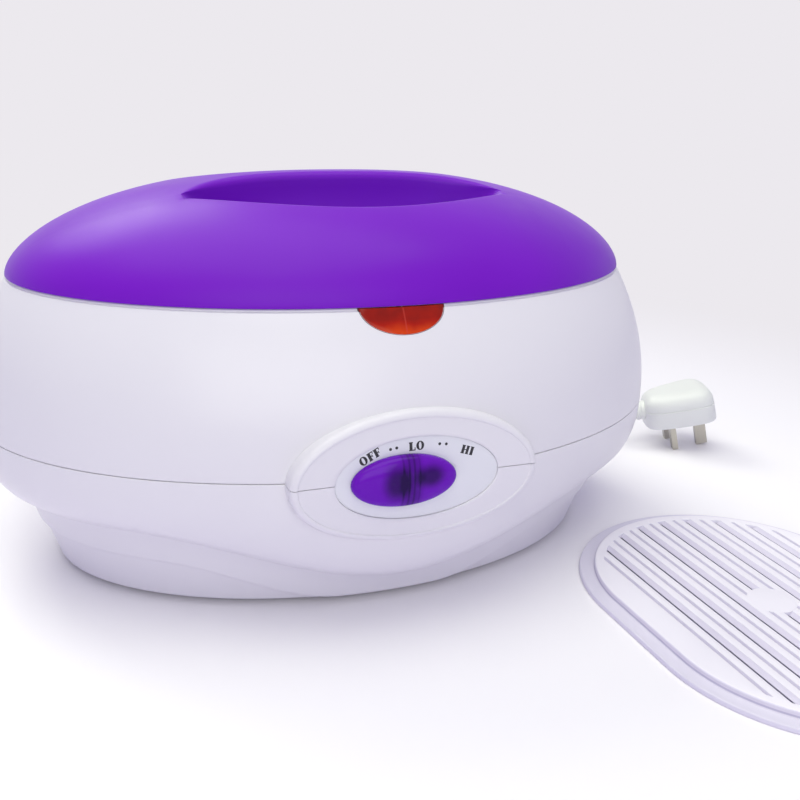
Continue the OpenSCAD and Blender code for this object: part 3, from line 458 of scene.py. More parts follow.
def lid_profile(columns):
    """One half of the lid, front rim to the middle of the ridge, for the columns' places along the lid.

    Each column runs over the dome to the lip, round the lip, down and up a superelliptic bowl, round
    the edge of the ridge and along the ridge's top. The bowl's depth fades to nothing at its tips.
    The end columns bow outward, so that the last one lies on the rim itself.
    """
    mid = np.abs(columns)
    over = np.clip((mid - BOW_START) / (1 - BOW_START), 0, 1)
    foot = np.where(mid > BOW_START, BOW_START + BOW_FOOT * over, mid)
    bow = np.where(mid > BOW_START, (mid - foot) / (1 - foot), 0)
    rim = -LID_B * np.sqrt(1 - foot ** 2)
    lip, ridge = scoop_edges(mid * LID_A)
    tip = np.clip((1 - mid * LID_A / SCOOP_HALF) / TIP_FADE, 0, 1)
    deep = tip ** 1.5 * (2.5 - 1.5 * tip)
    lip_r = np.minimum(LIP_ROUND, (ridge - lip) * 0.2)
    ridge_r = np.minimum(RIDGE_ROUND, (ridge - lip) * 0.3)

    climb = np.linspace(0, 1, 38)[:, None] ** 1.9
    front = rim + (lip - lip_r - rim) * climb
    turn = np.linspace(0, math.pi / 2, 7)[1:, None]
    crest = np.linspace(0, math.pi / 2, 9)[:, None]
    over_lip = lip - lip_r + lip_r * np.sin(turn)
    sweep = np.linspace(0, math.pi, 49)[1:-1, None]
    wall = np.sign(np.cos(sweep)) * np.abs(np.cos(sweep)) ** 0.62
    across = (lip + ridge) / 2 - (ridge - lip) / 2 * wall
    over_ridge = ridge + ridge_r * (1 - np.cos(crest))
    top = ridge + ridge_r - (ridge + ridge_r) * np.linspace(0, 1, 9)[1:, None]
    y = np.concatenate([front, over_lip, across, over_ridge, top])

    on_rim = np.sqrt(1 - np.clip((y / LID_B) ** 2, 0, 1))
    x = np.sign(columns) * LID_A * (foot * (1 - bow) + bow * on_rim)
    z = dome_height(x, y)
    rows = np.cumsum([len(front), len(over_lip), len(across), len(over_ridge)])
    z[rows[0]:rows[1]] -= lip_r * (1 - np.cos(turn)) * deep
    z[rows[2]:rows[3]] -= ridge_r * (1 - np.sin(crest)) * deep
    lip_z = z[rows[1] - 1]
    ridge_z = z[rows[2]]
    share = (y[rows[1]:rows[2]] - lip) / np.maximum(ridge - lip, 1e-6)
    brim = lip_z + (ridge_z - lip_z) * share
    bowl = np.abs(np.sin(sweep)) ** 0.8 * deep
    z[rows[1]:rows[2]] = brim - np.clip(brim - SCOOP_FLOOR, 0, None) * bowl
    return np.stack([x, y, z], 2)


def grid_normals(points, wrap=False):
    """Unit normals of a grid of points, from the cross product of its two directions."""
    down = np.gradient(points, axis=0)
    if wrap:
        along = (np.roll(points, -1, 1) - np.roll(points, 1, 1)) / 2
    else:
        along = np.gradient(points, axis=1)
    normal = np.cross(along, down)
    return normal / np.maximum(np.linalg.norm(normal, axis=2, keepdims=True), 1e-9)


def walled(outer, inner, wrap=False, keep=None, cap=False):
    """A closed wall from two matching grids: both faces, and a strip along each open edge of them.

    An edge is open where no other face runs along it the other way. keep is false for the cells of a
    hole. cap closes the first row with one face on each side, for a floor that starts in a small ring.
    """
    rows, columns = outer.shape[:2]
    count = rows * columns
    faces = grid_faces(rows, columns, wrap, keep)
    edges = np.concatenate([faces[:, [i, (i + 1) % 4]] for i in range(4)])
    rim = edges[~np.isin(edges @ (count, 1), edges @ (1, count))]
    groups = [faces, faces[:, ::-1] + count]
    if cap:
        rim = rim[~((rim[:, 0] < columns) & (rim[:, 1] < columns))]
        groups += [np.arange(columns)[None, ::-1], np.arange(columns)[None] + count]
    groups.append(np.stack([rim[:, 1], rim[:, 0], rim[:, 0] + count, rim[:, 1] + count], 1))
    return np.concatenate([outer.reshape(-1, 3), inner.reshape(-1, 3)]), groups


outward = 1 - (1 - np.linspace(0, 1, 44)) ** 1.7
columns = np.concatenate([np.linspace(0, BOW_START, 54)[:-1], BOW_START + (1 - BOW_START) * outward])
columns = np.concatenate([-columns[:0:-1], columns])
half = lid_profile(columns)
outer = np.concatenate([half, half[-2::-1] * (1, -1, 1)])
inner = outer - LID_WALL * grid_normals(outer)
inner[:, :, 2] = np.maximum(inner[:, :, 2], LID_FOOT)
points, groups = walled(outer, inner)


def looped(x, y, z):
    """Points and faces of a ring from grids of places: its loop is closed, and so is its way round."""
    index = np.arange(x.size).reshape(x.shape)
    below = np.roll(index, -1, 0)
    faces = np.stack([index, np.roll(index, -1, 1), np.roll(below, -1, 1), below], 2).reshape(-1, 4)
    return np.stack([x, y, z], 2).reshape(-1, 3), [faces]


def join(first, first_groups, second, second_groups):
    """Puts two sets of points and faces together."""
    return np.concatenate([first, second]), first_groups + [group + len(first) for group in second_groups]


# The rib's loop: long half axis, short half axis and height, carried round the oval.
rib = np.array([(RIB_A, RIB_B, RIB_FOOT), (RIB_A, RIB_B, 156.4), (168.6, 106.6, 157.2),
                (168.6, 106.6, 158.6), (RIB_A - RIB_WALL, RIB_B - RIB_WALL, 158.6),
                (RIB_A - RIB_WALL, RIB_B - RIB_WALL, RIB_FOOT)])
angle = np.arange(RIB_SIDES) * 2 * math.pi / RIB_SIDES
rib_z = np.repeat(rib[:, None, 2], RIB_SIDES, 1)
rib_ring = looped(rib[:, None, 0] * np.cos(angle), rib[:, None, 1] * np.sin(angle), rib_z)
points, groups = join(points, groups, *rib_ring)

# Satin ABS with a violet pigment: a fine moulded grain, and light that sinks in a little.
lid_abs, tree, shader = finish_of("satin_violet_abs", "#7618C6", 0.38, Specular_IOR_Level=0.16,
                                  Subsurface_Weight=0.06, Subsurface_Radius=(0.6, 0.25, 1.0),
                                  Subsurface_Scale=0.003)
place = grain(tree, shader, 0.0011, 0.000012, (0.34, 0.42))
tone = add_node(tree, "ShaderNodeTexNoise", {"Scale": 14.0, "Detail": 1.0},
                {"Vector": place.outputs["Object"]})
shade = add_node(tree, "ShaderNodeMix", {"data_type": "RGBA", 6: srgb("#7012B8"), 7: srgb("#7B1AC4")},
                 {0: tone.outputs["Fac"]})
tree.links.new(shade.outputs[2], shader.inputs["Base Color"])

lid_cover = mesh_piece("lid_cover", points, groups, lid_abs, 38)
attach(lid_cover, "lid")
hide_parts("lid")


# The white housing: two injection-moulded ABS shells, 2.5 mm thick, that meet at the widest line.
# The upper one carries the rim and the tank's ledge. The oval boss of the controls is split with
# them, and a fine groove runs along their joint.

SEAM = 81.0
WIDE_A = 190.5
WIDE_B = 135.0
RIM_Z = 154.5
RIM_A = 170.0
RIM_B = 108.0
RIM_W = 4.0
LEDGE_Z = 149.5
LEDGE_A = 154.5
LEDGE_B = 94.5
SHELL = 2.5
FLOOR_Z = 3.0
FOOT_A = 157.5
FOOT_B = 102.0
LEAN = 0.30
SIDES = 480
BOSS_A = 61.0
BOSS_B = 32.5
BOSS_Z = 80.0
FACE_R = 140.0
FACE_AXIS = (3.0, 82.0)
PLATE_A = 40.0
PLATE_B = 20.0
BOSS_ROOT = -117.0
BOSS_EDGE = 2.8
BOSS_SKIN = 1.8
BEAD = 0.6
RIM_EDGE = 1.3
RIM_LIP = 0.8
UNDER_RIM = 147.2

angle = np.arange(SIDES) * 2 * math.pi / SIDES


def ovals(rows):
    """A grid of rings from rows of long half axis, short half axis and height, one or one per angle."""
    grid = np.array([[np.broadcast_to(value, angle.shape) for value in row] for row in rows])
    return np.stack([grid[:, 0] * np.cos(angle), grid[:, 1] * np.sin(angle), grid[:, 2]], 2)


def upper_row(rise, inset=0.0):
    """The upper shell's oval at a share of its height: it closes in by the share to the power 2.1."""
    close = rise ** 2.1
    return (WIDE_A - (WIDE_A - RIM_A) * close - inset, WIDE_B - (WIDE_B - RIM_B) * close - inset,
            SEAM + (RIM_Z - SEAM) * rise)


def rim_row(inset, z):
    """The rim's outer oval, brought in by an inset, at a height."""
    return RIM_A - inset, RIM_B - inset, z


def clear_of_boss(grid):
    """True for the cells that stay: those whose middle is outside the opening behind the boss."""
    across = (grid + np.roll(grid, -1, 1)) / 2
    middle = (across[:-1] + across[1:]) / 2
    inside = (middle[..., 0] / (BOSS_A - 7)) ** 2 + ((middle[..., 2] - BOSS_Z) / (BOSS_B - 5)) ** 2 < 1
    return ~(inside & (middle[..., 1] < 0))


# Rows from the joint's groove up the wall, over the rim, and down and in to the tank's ledge.
groove = [upper_row(0.0022, 0.9), upper_row(0.0030, 0.25), upper_row(0.0065, 0.03)]
wall_rows = [upper_row(rise) for rise in np.linspace(0.014, 0.978, 40)]
bend = np.linspace(0, math.pi / 2, 6)
rim_rows = [rim_row(0.1 + RIM_EDGE * (1 - math.cos(t)), RIM_Z - RIM_EDGE * (1 - math.sin(t))) for t in bend]
rim_rows += [rim_row(RIM_W - RIM_LIP + RIM_LIP * math.sin(t), RIM_Z - RIM_LIP + RIM_LIP * math.cos(t))
             for t in bend]
ledge_rows = [rim_row(RIM_W, 152.0), rim_row(RIM_W, LEDGE_Z + 0.6), rim_row(RIM_W + 0.6, LEDGE_Z),
              (LEDGE_A + 0.5, LEDGE_B + 0.5, LEDGE_Z), (LEDGE_A, LEDGE_B, LEDGE_Z - 0.5)]
outer = ovals(groove + wall_rows + rim_rows + ledge_rows)
inner_rows = [(WIDE_A - SHELL, WIDE_B - SHELL, SEAM + 0.15 + 0.2 * i) for i in range(len(groove))]
inner_rows += [upper_row(rise * 0.985, SHELL) for rise in np.linspace(0.014, 0.93, len(wall_rows))]
inner_rows += [rim_row(SHELL + 0.05 * i, UNDER_RIM - 0.01 * i) for i in range(len(rim_rows))]
inner_rows += [rim_row(3.4, UNDER_RIM - 0.12), rim_row(3.7, UNDER_RIM - 0.15), rim_row(4.2, LEDGE_Z - SHELL),
               (LEDGE_A + 0.5, LEDGE_B + 0.5, LEDGE_Z - SHELL), (LEDGE_A, LEDGE_B, LEDGE_Z - SHELL + 0.2)]
upper_points, upper_groups = walled(outer, ovals(inner_rows), wrap=True, keep=clear_of_boss(outer))


def ease(t):
    """Half a cosine wave from 0 to 1."""
    return 0.5 - 0.5 * np.cos(math.pi * np.clip(t, 0, 1))


def face_depth(z, inset=0.0):
    """The boss's face: a cylinder along the long axis of the body, 140 mm in radius."""
    return FACE_AXIS[0] - np.sqrt((FACE_R - inset) ** 2 - (z - FACE_AXIS[1]) ** 2)


def half_boss(side):
    """The upper (1) or lower (-1) half of the boss: a wall up from the body, a round bead, and a face in it.

    Rings go from the root of the wall to the edge of the plate's seat. Each starts and stops at the
    joint's height, so that the halves meet in a straight groove.
    """
    steps = [(0, None), (0, 8.0), (0, BOSS_EDGE + 1.0)]
    steps += [(BOSS_EDGE * (1 - math.cos(t)), BOSS_EDGE * (1 - math.sin(t)) - BEAD)
              for t in np.linspace(0, math.pi / 2, 9)]
    face = BOSS_EDGE + 1.1
    steps += [(face - 0.8 * (1 - share), -BEAD * (1 - ease(share))) for share in (0.25, 0.5, 0.75)]
    axes = [(BOSS_A - inset, BOSS_B - inset, depth) for inset, depth in steps]
    a, b = BOSS_A - face, BOSS_B - face
    axes += [(a + (PLATE_A + 0.9 - a) * share, b + (PLATE_B + 0.9 - b) * share, 0.0)
             for share in np.linspace(0, 1, 9)[1:]]
    axes += [(PLATE_A + 0.4, PLATE_B + 0.4, 0.3), (PLATE_A + 0.3, PLATE_B + 0.3, 1.6)]

    share = np.linspace(0, 1, 121)
    share = 0.5 - 0.5 * np.cos(share * math.pi) * (1 - 0.35 * np.sin(share * math.pi) ** 2)
    rings = []
    for a, b, depth in axes:
        start = math.asin((SEAM + side * 0.18 - BOSS_Z) / b)
        around = start + (side * math.pi - 2 * start) * share
        x = a * np.cos(around)
        z = BOSS_Z + b * np.sin(around)
        y = np.full_like(x, BOSS_ROOT) if depth is None else face_depth(z) + depth
        rings.append(np.stack([x, y, z], 1))
    outside = np.array(rings)
    within = outside.copy()
    within[:, :, 0] *= 1 - BOSS_SKIN / BOSS_A
    within[:, :, 2] = BOSS_Z + (within[:, :, 2] - BOSS_Z) * (1 - BOSS_SKIN / BOSS_B)
    within[3:, :, 1] += 2.0
    within[-2:, :, 0] = outside[-2:, :, 0] * 1.002
    within[-2:, :, 1] = outside[-2:, :, 1] + 0.5
    if side < 0:
        outside, within = outside[:, ::-1], within[:, ::-1]
    return walled(outside, within)


upper_points, upper_groups = join(upper_points, upper_groups, *half_boss(1))


# The lower shell below the joint: a bulge that overhangs a leaning skirt along a wavy line, and
# an inset foot below a second wavy line.

WAVE_LOW = 20.0
WAVE_HIGH = 48.0
WAVE_REACH = 122.0
FOOT_LOW = 3.6
FOOT_HIGH = 26.5
STEP = 3.0
BULGE_POWER = 2.3
FOOT_INSET = 2.5
WAVE_EDGE = 1.6


def skirt_row(z, inset=0.0):
    """The skirt's oval at a height: it leans outward by 0.3 mm a millimetre."""
    return FOOT_A + LEAN * (z - FLOOR_Z) - inset, FOOT_B + LEAN * (z - FLOOR_Z) - inset, z


def bulge_row(share):
    """The bulge at a share of its height over the wave: a superellipse from the step to the joint."""
    swell = (1 - (1 - share) ** BULGE_POWER) ** (1 / BULGE_POWER)
    a, b, z = skirt_row(wave_z, -STEP)
    return a + (WIDE_A - a) * swell, b + (WIDE_B - b) * swell, z + (SEAM - z) * share


# The two wavy lines are low at the front and back, and high at the two ends.
wave_z = WAVE_LOW + (WAVE_HIGH - WAVE_LOW) * ease(np.abs(FOOT_A * 1.06 * np.cos(angle)) / WAVE_REACH)
foot_z = FOOT_LOW + (FOOT_HIGH - FOOT_LOW) * ease((np.abs(FOOT_A * np.cos(angle)) - 25) / 85)
foot_r = np.minimum(1.2, (foot_z - FLOOR_Z) * 0.3)

rows = [(FOOT_A * share, FOOT_B * share, FLOOR_Z) for share in (0.01, 0.2, 0.45, 0.7, 0.9)]
for t in np.linspace(0, math.pi / 2, 5):
    a, b, z = skirt_row(FLOOR_Z, FOOT_INSET + foot_r * (1 - math.sin(t)))
    rows.append((a, b, z + foot_r * (1 - math.cos(t))))
foot_top = foot_z - 0.35 * foot_r
foot_low = FLOOR_Z + foot_r
rows += [skirt_row(foot_low + (foot_top - foot_low) * share, FOOT_INSET) for share in (0.5, 1.0)]
rows.append(skirt_row(foot_z, FOOT_INSET - 0.5))
rows += [skirt_row(foot_z + 1 - math.cos(t), 1 - math.sin(t)) for t in np.linspace(0.1, math.pi / 2, 5)]
skirt_top = wave_z - WAVE_EDGE
rows += [skirt_row(foot_z + 1 + (skirt_top - foot_z - 1) * share) for share in np.linspace(0, 1, 14)[1:]]
rows += [skirt_row(skirt_top + WAVE_EDGE * math.sin(t), -WAVE_EDGE * (1 - math.cos(t)))
         for t in np.linspace(0, math.pi / 2, 6)[1:]]
rows += [bulge_row(share) for share in np.linspace(0.02, 1, 34)[:-1] ** 2.2]
rows += [(WIDE_A - inset, WIDE_B - inset, SEAM - drop)
         for inset, drop in ((0, 0.6), (0.03, 0.4), (0.25, 0.2), (0.9, 0.14))]
outer = ovals(rows)
inner = outer - SHELL * grid_normals(outer, wrap=True)
inner[..., 2] = np.clip(inner[..., 2], FLOOR_Z + SHELL, SEAM - 0.1)
inner[:5] = outer[:5] + (0, 0, SHELL)
for back in range(1, 5):
    inner[-back] = ovals([(WIDE_A - SHELL, WIDE_B - SHELL, SEAM - 0.3 - 0.25 * (back - 1))])[0]
lower_points, lower_groups = walled(outer, inner, wrap=True, keep=clear_of_boss(outer), cap=True)
lower_points, lower_groups = join(lower_points, lower_groups, *half_boss(-1))

# Glossy white ABS: an even moulded skin, faintly violet, with a very low waviness.
white_abs, tree, shader = finish_of("glossy_white_abs", "#E5E4E6", 0.30, Specular_IOR_Level=0.5)
grain(tree, shader, 0.0035, 0.000008, (0.29, 0.32))
upper_shell = mesh_piece("upper_shell", upper_points, upper_groups, white_abs, 35)
lower_shell = mesh_piece("lower_shell", lower_points, lower_groups, white_abs, 35)
for shell, node in ((upper_shell, "upper_housing"), (lower_shell, "lower_housing")):
    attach(shell, "base")
    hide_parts(node)


# The indicator lens: a half-oval window moulded in clear red acrylic, let into the rim under the
# lid's edge, with two lamps behind it. A dark hairline round it is painted shade of the gap at its edge.

LENS_HALF = 21.0
LENS_DROP = 11.3
LENS_TOP = 154.3


def on_upper_wall(x, z, proud):
    """A point of the upper shell's front at a place and height, raised from it by an amount."""
    close = np.clip((z - SEAM) / (RIM_Z - SEAM), 0, 1) ** 2.1
    a = WIDE_A - (WIDE_A - RIM_A) * close
    b = WIDE_B - (WIDE_B - RIM_B) * close
    return np.stack([x, -b * np.sqrt(1 - (x / a) ** 2) - proud, z], -1)


def lens_rings(size, proud, skin):
    """Half-oval rings on the wall, of given sizes and raised by given amounts, with a skin behind them."""
    turn = np.linspace(2 * math.pi, math.pi, 97)[None]
    place = LENS_HALF * size[:, None] * np.cos(turn)
    height = LENS_TOP + LENS_DROP * size[:, None] * np.sin(turn)
    outer = on_upper_wall(place, height, proud[:, None] + 0 * turn)
    return walled(outer, outer + (0, skin, 0))


size = np.concatenate([np.linspace(0.02, 0.9, 16), 1 - 0.1 * (1 - np.linspace(0, 1, 9)[1:]) ** 2])
proud = 0.65 * np.sqrt(np.clip(1 - size ** 14, 0, 1)) + 0.5 * (1 - size ** 2) - 0.25
points, groups = lens_rings(size, proud, 1.8)

# Clear red acrylic over dark lamps, drawn opaque: deep red and mottled as painted shade of the dark
# inside behind it, orange towards its lower edge as painted light, and a lighter line down the middle.
red_acrylic, tree, shader = finish_of("clear_red_acrylic", "#B0200F", 0.12, Specular_IOR_Level=0.12,
                                      Coat_Weight=0.08, Coat_Roughness=0.05)
place = add_node(tree, "ShaderNodeTexCoord").outputs["Object"]
lobes = add_node(tree, "ShaderNodeTexNoise", {"Scale": 130.0, "Detail": 1.5}, {"Vector": place})
split = add_node(tree, "ShaderNodeSeparateXYZ", None, {"Vector": place})
# Painted light: the colour turns orange towards the lens's lower edge.
low = add_node(tree, "ShaderNodeMapRange", {"From Min": 0.1495, "From Max": 0.1435, "To Max": 0.75},
               {"Value": split.outputs["Z"]})
mottle_and_painted_light = add_node(tree, "ShaderNodeMath", {"operation": "MULTIPLY_ADD", 1: 0.55},
                {0: lobes.outputs["Fac"], 2: low.outputs["Result"]})
shades = add_node(tree, "ShaderNodeValToRGB", None, {"Fac": mottle_and_painted_light.outputs[0]})
for place, colour in ((0.18, "#84120A"), (0.5, "#A81806"), (0.95, "#D2400C")):
    shades.color_ramp.elements.new(place).color = srgb(colour)
shades.color_ramp.elements.remove(shades.color_ramp.elements[0])
shades.color_ramp.elements.remove(shades.color_ramp.elements[-1])
off_line = add_node(tree, "ShaderNodeMath", {"operation": "ABSOLUTE"}, {0: split.outputs["X"]})
line = add_node(tree, "ShaderNodeMapRange",
                {"From Min": 0.0002, "From Max": 0.0005, "To Min": 0.45, "To Max": 0.0},
                {"Value": off_line.outputs[0]})
lined = add_node(tree, "ShaderNodeMix", {"data_type": "RGBA", 7: srgb("#C84438")},
                 {0: line.outputs["Result"], 6: shades.outputs["Color"]})
tree.links.new(lined.outputs[2], shader.inputs["Base Color"])
lens_window = mesh_piece("lens_window", points, groups, red_acrylic, 50)
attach(lens_window, "base")
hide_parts("indicator_lens")

# Painted shade of the gap round the lens: a matt, dark red strip without a highlight.
gap_shadow_paint, tree, shader = finish_of("painted_gap_shadow", "#4A1A22", 0.8)
grain(tree, shader, 0.0006, 0.00002)
points, groups = lens_rings(np.array([0.992, 0.997, 1.012, 1.018]), np.array([-0.4, 0.05, 0.04, -0.4]), 0.5)
lens_gap_shadow = mesh_piece("lens_gap_shadow", points, groups, gap_shadow_paint, 60)
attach(lens_gap_shadow, "base")


# The control plate: a thin white ABS oval snapped into the boss, with a curved face and a slot for
# the knob. Its scale is pad-printed in black.

PLATE_SINK = 0.8
SLOT_HALF = 18.0
SLOT_TALL = 5.0
PLATE_EDGE = 0.35
PLATE_SIDES = 240


def plate_ring(a, b, power, depth):
    """A ring on the plate's curved face: outline half axes, roundness power, depth below the face."""
    around = np.arange(PLATE_SIDES) * 2 * math.pi / PLATE_SIDES
    x = a * np.sign(np.cos(around)) * np.abs(np.cos(around)) ** power
    z = BOSS_Z + b * np.sign(np.sin(around)) * np.abs(np.sin(around)) ** power
    return np.stack([x, face_depth(z, PLATE_SINK) + depth, z], 1)


steps = [(0.25, 2.2), (0.25, PLATE_EDGE)]
steps += [(0.25 - PLATE_EDGE * (1 - math.cos(t)), PLATE_EDGE * (1 - math.sin(t)))
          for t in np.linspace(0.3, math.pi / 2, 5)]
axes = [(PLATE_A + proud, PLATE_B + proud, 1.0, depth) for proud, depth in steps]
a, b = PLATE_A - 0.25, PLATE_B - 0.25
axes += [(a + (SLOT_HALF + 0.5 - a) * share, b + (SLOT_TALL + 0.5 - b) * share, 1 - 0.55 * share ** 2, 0.0)
         for share in np.linspace(0, 1, 9)[1:]]
axes += [(SLOT_HALF, SLOT_TALL, 0.45, 0.4), (SLOT_HALF, SLOT_TALL, 0.45, 2.0)]
outer = np.array([plate_ring(*row) for row in axes])
inner = outer + (0, 1.0, 0)
inner[2:-1] += (0, 0.8, 0)
points, groups = walled(outer, inner, wrap=True)

# Semi-gloss white ABS, a little greyer than the housing, with the same fine moulded skin.
plate_abs, tree, shader = finish_of("semi_gloss_white_abs", "#E4E6E8", 0.33, Specular_IOR_Level=0.5)
grain(tree, shader, 0.0016, 0.00001, (0.28, 0.38))
scale_plate = mesh_piece("scale_plate", points, groups, plate_abs, 40)
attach(scale_plate, "base")
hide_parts("control_plate")


# The printed scale: OFF, LO and HI in a bold serif letter 4 mm tall, with two dots between each.
# The letters are strokes on the plate's face, turned to follow the oval.

# Each letter: its width and its strokes as left, bottom, right and top, in units of its height.
# Each word: its letters, the place of its middle and its tilt in degrees.
CAP = 4.1
STROKES = {
    "F": (0.8, [(0.08, 0, 0.43, 1), (0.02, 0, 0.48, 0.09), (0.02, 0.88, 0.76, 1), (0.3, 0.44, 0.6, 0.56),
                (0.66, 0.7, 0.76, 0.95), (0.54, 0.34, 0.62, 0.66)]),
    "L": (0.84, [(0.08, 0, 0.43, 1), (0.02, 0, 0.78, 0.12), (0.02, 0.88, 0.5, 1), (0.68, 0, 0.79, 0.34)]),
    "H": (1.08, [(0.08, 0, 0.43, 1), (0.63, 0, 0.96, 1), (0.3, 0.45, 0.7, 0.55), (0.02, 0, 0.46, 0.09),
                 (0.58, 0, 1.02, 0.09), (0.02, 0.91, 0.46, 1), (0.58, 0.91, 1.02, 1)]),
    "I": (0.54, [(0.08, 0, 0.43, 1), (0.02, 0, 0.46, 0.09), (0.02, 0.91, 0.46, 1)]),
}
WORDS = [("OFF", -23.8, 93.0, 27.0), ("LO", -1.2, 95.9, 2.0), ("HI", 24.3, 91.2, -17.0)]
DOTS = [(-14.0, 95.5), (-11.0, 95.9), (10.1, 95.7), (13.4, 95.3)]
DOT_R = 0.7
INK_LIFT = 0.03
LAYER = 0.0006
LETTER_GAP = 0.02


def letter_strokes(letter, start):
    """The width and the flat pieces of one letter, as grids: rectangles, or a ring for O."""
    if letter == "O":
        around = np.linspace(0, 2 * math.pi, 41)
        outer_ring = np.stack([0.5 + 0.47 * np.cos(around), 0.5 + 0.53 * np.sin(around)], 1)
        inner_ring = np.stack([0.5 + 0.16 * np.cos(around), 0.5 + 0.41 * np.sin(around)], 1)
        return 1.04, [np.stack([outer_ring, inner_ring]) + (start, 0)]
    width, boxes = STROKES[letter]
    return width, [np.array([[(x0, z0), (x1, z0)], [(x0, z1), (x1, z1)]])[::-1] + (start, 0)
                   for x0, z0, x1, z1 in boxes]


grids = []
for word, x, z, tilt in WORDS:
    start = 0
    strokes = []
    for letter in word:
        width, pieces = letter_strokes(letter, start)
        strokes += pieces
        start += width + LETTER_GAP
    cos, sin = math.cos(math.radians(tilt)), math.sin(math.radians(tilt))
    for flat in strokes:
        along = (flat[..., 0] - start / 2) * CAP
        tall = (flat[..., 1] - 0.5) * CAP
        grids.append((x + along * cos - tall * sin, z + along * sin + tall * cos))
around = np.linspace(0, 2 * math.pi, 25)
dot_x = np.outer([DOT_R, 0.02], np.cos(around))
dot_z = np.outer([DOT_R, 0.02], np.sin(around))
grids += [(x + dot_x, z + dot_z) for x, z in DOTS]
# Each grid lies a little higher than the one before, so that crossing strokes don't share a plane.
points = np.empty((0, 3))
groups = []
for layer, (x, z) in enumerate(grids):
    y = face_depth(z, PLATE_SINK) - INK_LIFT - LAYER * layer
    points, groups = join(points, groups, np.stack([x, y, z], -1).reshape(-1, 3), [grid_faces(*x.shape)])

# Pad-printing ink: a flat near-black film with almost no relief.
print_ink, tree, shader = finish_of("black_pad_print", "#26242B", 0.55)
grain(tree, shader, 0.0003, 0.000004)
scale_print = mesh_piece("scale_print", points, groups, print_ink, 30)
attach(scale_print, "base")


# The slide knob: a low oval button moulded in clear purple acrylic over a ribbed stem, so dark
# shapes of the stem and the slot show through its middle. It slides 15 mm to the right.

KNOB_X = -7.5
KNOB_Z = 80.5
KNOB_A = 25.6
KNOB_B = 12.5
KNOB_CROWN = -143.3
KNOB_BACK = 139.4
KNOB_SIDES = 160
STEM_HALF = 3.5
STEM_Y = (-138.2, -132.4)


def knob_ring(size, y):
    """An oval ring of the knob at a share of its size."""
    return np.stack([KNOB_X + KNOB_A * size * np.cos(around), y, KNOB_Z + KNOB_B * size * np.sin(around)], 1)


def box(*spans):
    """The corners and faces of a box from its spans along X, Y and Z."""
    corners = np.array([(x, y, z) for x in spans[0] for y in spans[1] for z in spans[2]])
    faces = [(0, 1, 3, 2), (4, 6, 7, 5), (0, 4, 5, 1), (2, 3, 7, 6), (0, 2, 6, 4), (1, 5, 7, 3)]
    return corners, [np.array(faces)]


# The rings start on the back, which lies along the plate's face, and close over the crown.
around = np.arange(KNOB_SIDES) * 2 * math.pi / KNOB_SIDES
back_y = FACE_AXIS[0] - np.sqrt(KNOB_BACK ** 2 - (KNOB_Z + KNOB_B * np.sin(around) - FACE_AXIS[1]) ** 2)
rings = [knob_ring(0.4, back_y), knob_ring(0.97, back_y)]
for share in [*np.linspace(1, 0, 30)[:-1], 0.02]:
    rise = math.cos(share * math.pi / 2) ** 0.62
    rings.append(knob_ring(math.sin(share * math.pi / 2), back_y - 0.5 + (KNOB_CROWN - back_y + 0.5) * rise))
points = np.concatenate(rings)
groups = [grid_faces(len(rings), KNOB_SIDES, wrap=True)]
groups += [face[:, ::-1] for face in ends(len(rings), KNOB_SIDES)]
stem = box((KNOB_X - STEM_HALF, KNOB_X + STEM_HALF), STEM_Y, (KNOB_Z - STEM_HALF, KNOB_Z + STEM_HALF))
points, groups = join(points, groups, *stem)

# Clear purple acrylic, drawn opaque: saturated at the ends, and nearly black over the stem, with painted
# shade in its slot.
purple_acrylic, tree, shader = finish_of("clear_purple_acrylic", "#6A1DB4", 0.10, Specular_IOR_Level=0.1,
                                         Coat_Weight=0.05, Coat_Roughness=0.04)
place = add_node(tree, "ShaderNodeTexCoord")
centred = add_node(tree, "ShaderNodeMapping", {"Location": (-KNOB_X * MM, 0, -KNOB_Z * MM)},
                   {"Vector": place.outputs["Object"]})


def soft_spot(x, z, wide, tall, weight):
    """A dark spot: the weight in its middle, fading to zero at its half axes, in millimetres."""
    moved = add_node(tree, "ShaderNodeMapping", {
        "Location": (-x / wide, 0, -z / tall), "Scale": (1 / (wide * MM), 0, 1 / (tall * MM))},
        {"Vector": centred.outputs["Vector"]})
    span = add_node(tree, "ShaderNodeVectorMath", {"operation": "LENGTH"}, {0: moved.outputs["Vector"]})
    spot = add_node(tree, "ShaderNodeMapRange", {
        "interpolation_type": "SMOOTHSTEP", "From Min": 0.25, "To Min": weight, "To Max": 0.0},
        {"Value": span.outputs["Value"]})
    return spot.outputs["Result"]


# Spots: the stem's middle, painted shadows to its left and right, and the four fine ribs along it.
dark = soft_spot(2.0, 0.0, 7.5, 30.0, 0.5)
for spot in ((-5.4, 1.0, 9.0, 12.0, 0.85), (11.0, 2.8, 10.0, 7.5, 0.85), (-2.2, 0, 0.8, 60, 0.25),
             (0.5, 0, 0.8, 60, 0.25), (3.0, 0, 0.8, 60, 0.25), (5.6, 0, 0.7, 60, 0.2)):
    dark = add_node(tree, "ShaderNodeMath", {"operation": "ADD", "use_clamp": True},
                    {0: dark, 1: soft_spot(*spot)}).outputs[0]
shades = add_node(tree, "ShaderNodeValToRGB", None, {"Fac": dark})
shades.color_ramp.elements[0].color = srgb("#6A12B4")
shades.color_ramp.elements[1].color = srgb("#230348")
tree.links.new(shades.outputs["Color"], shader.inputs["Base Color"])
slide_button = mesh_piece("slide_button", points, groups, purple_acrylic, 45)
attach(slide_button, "knob")
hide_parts("slide_knob")


# The hand grille: an oval plastic tray, 6 mm high, with a flat ledge round it and fifteen sloping
# slots in turn wide and narrow. In use it keeps hands off the tank's hot floor. Here it lies by.

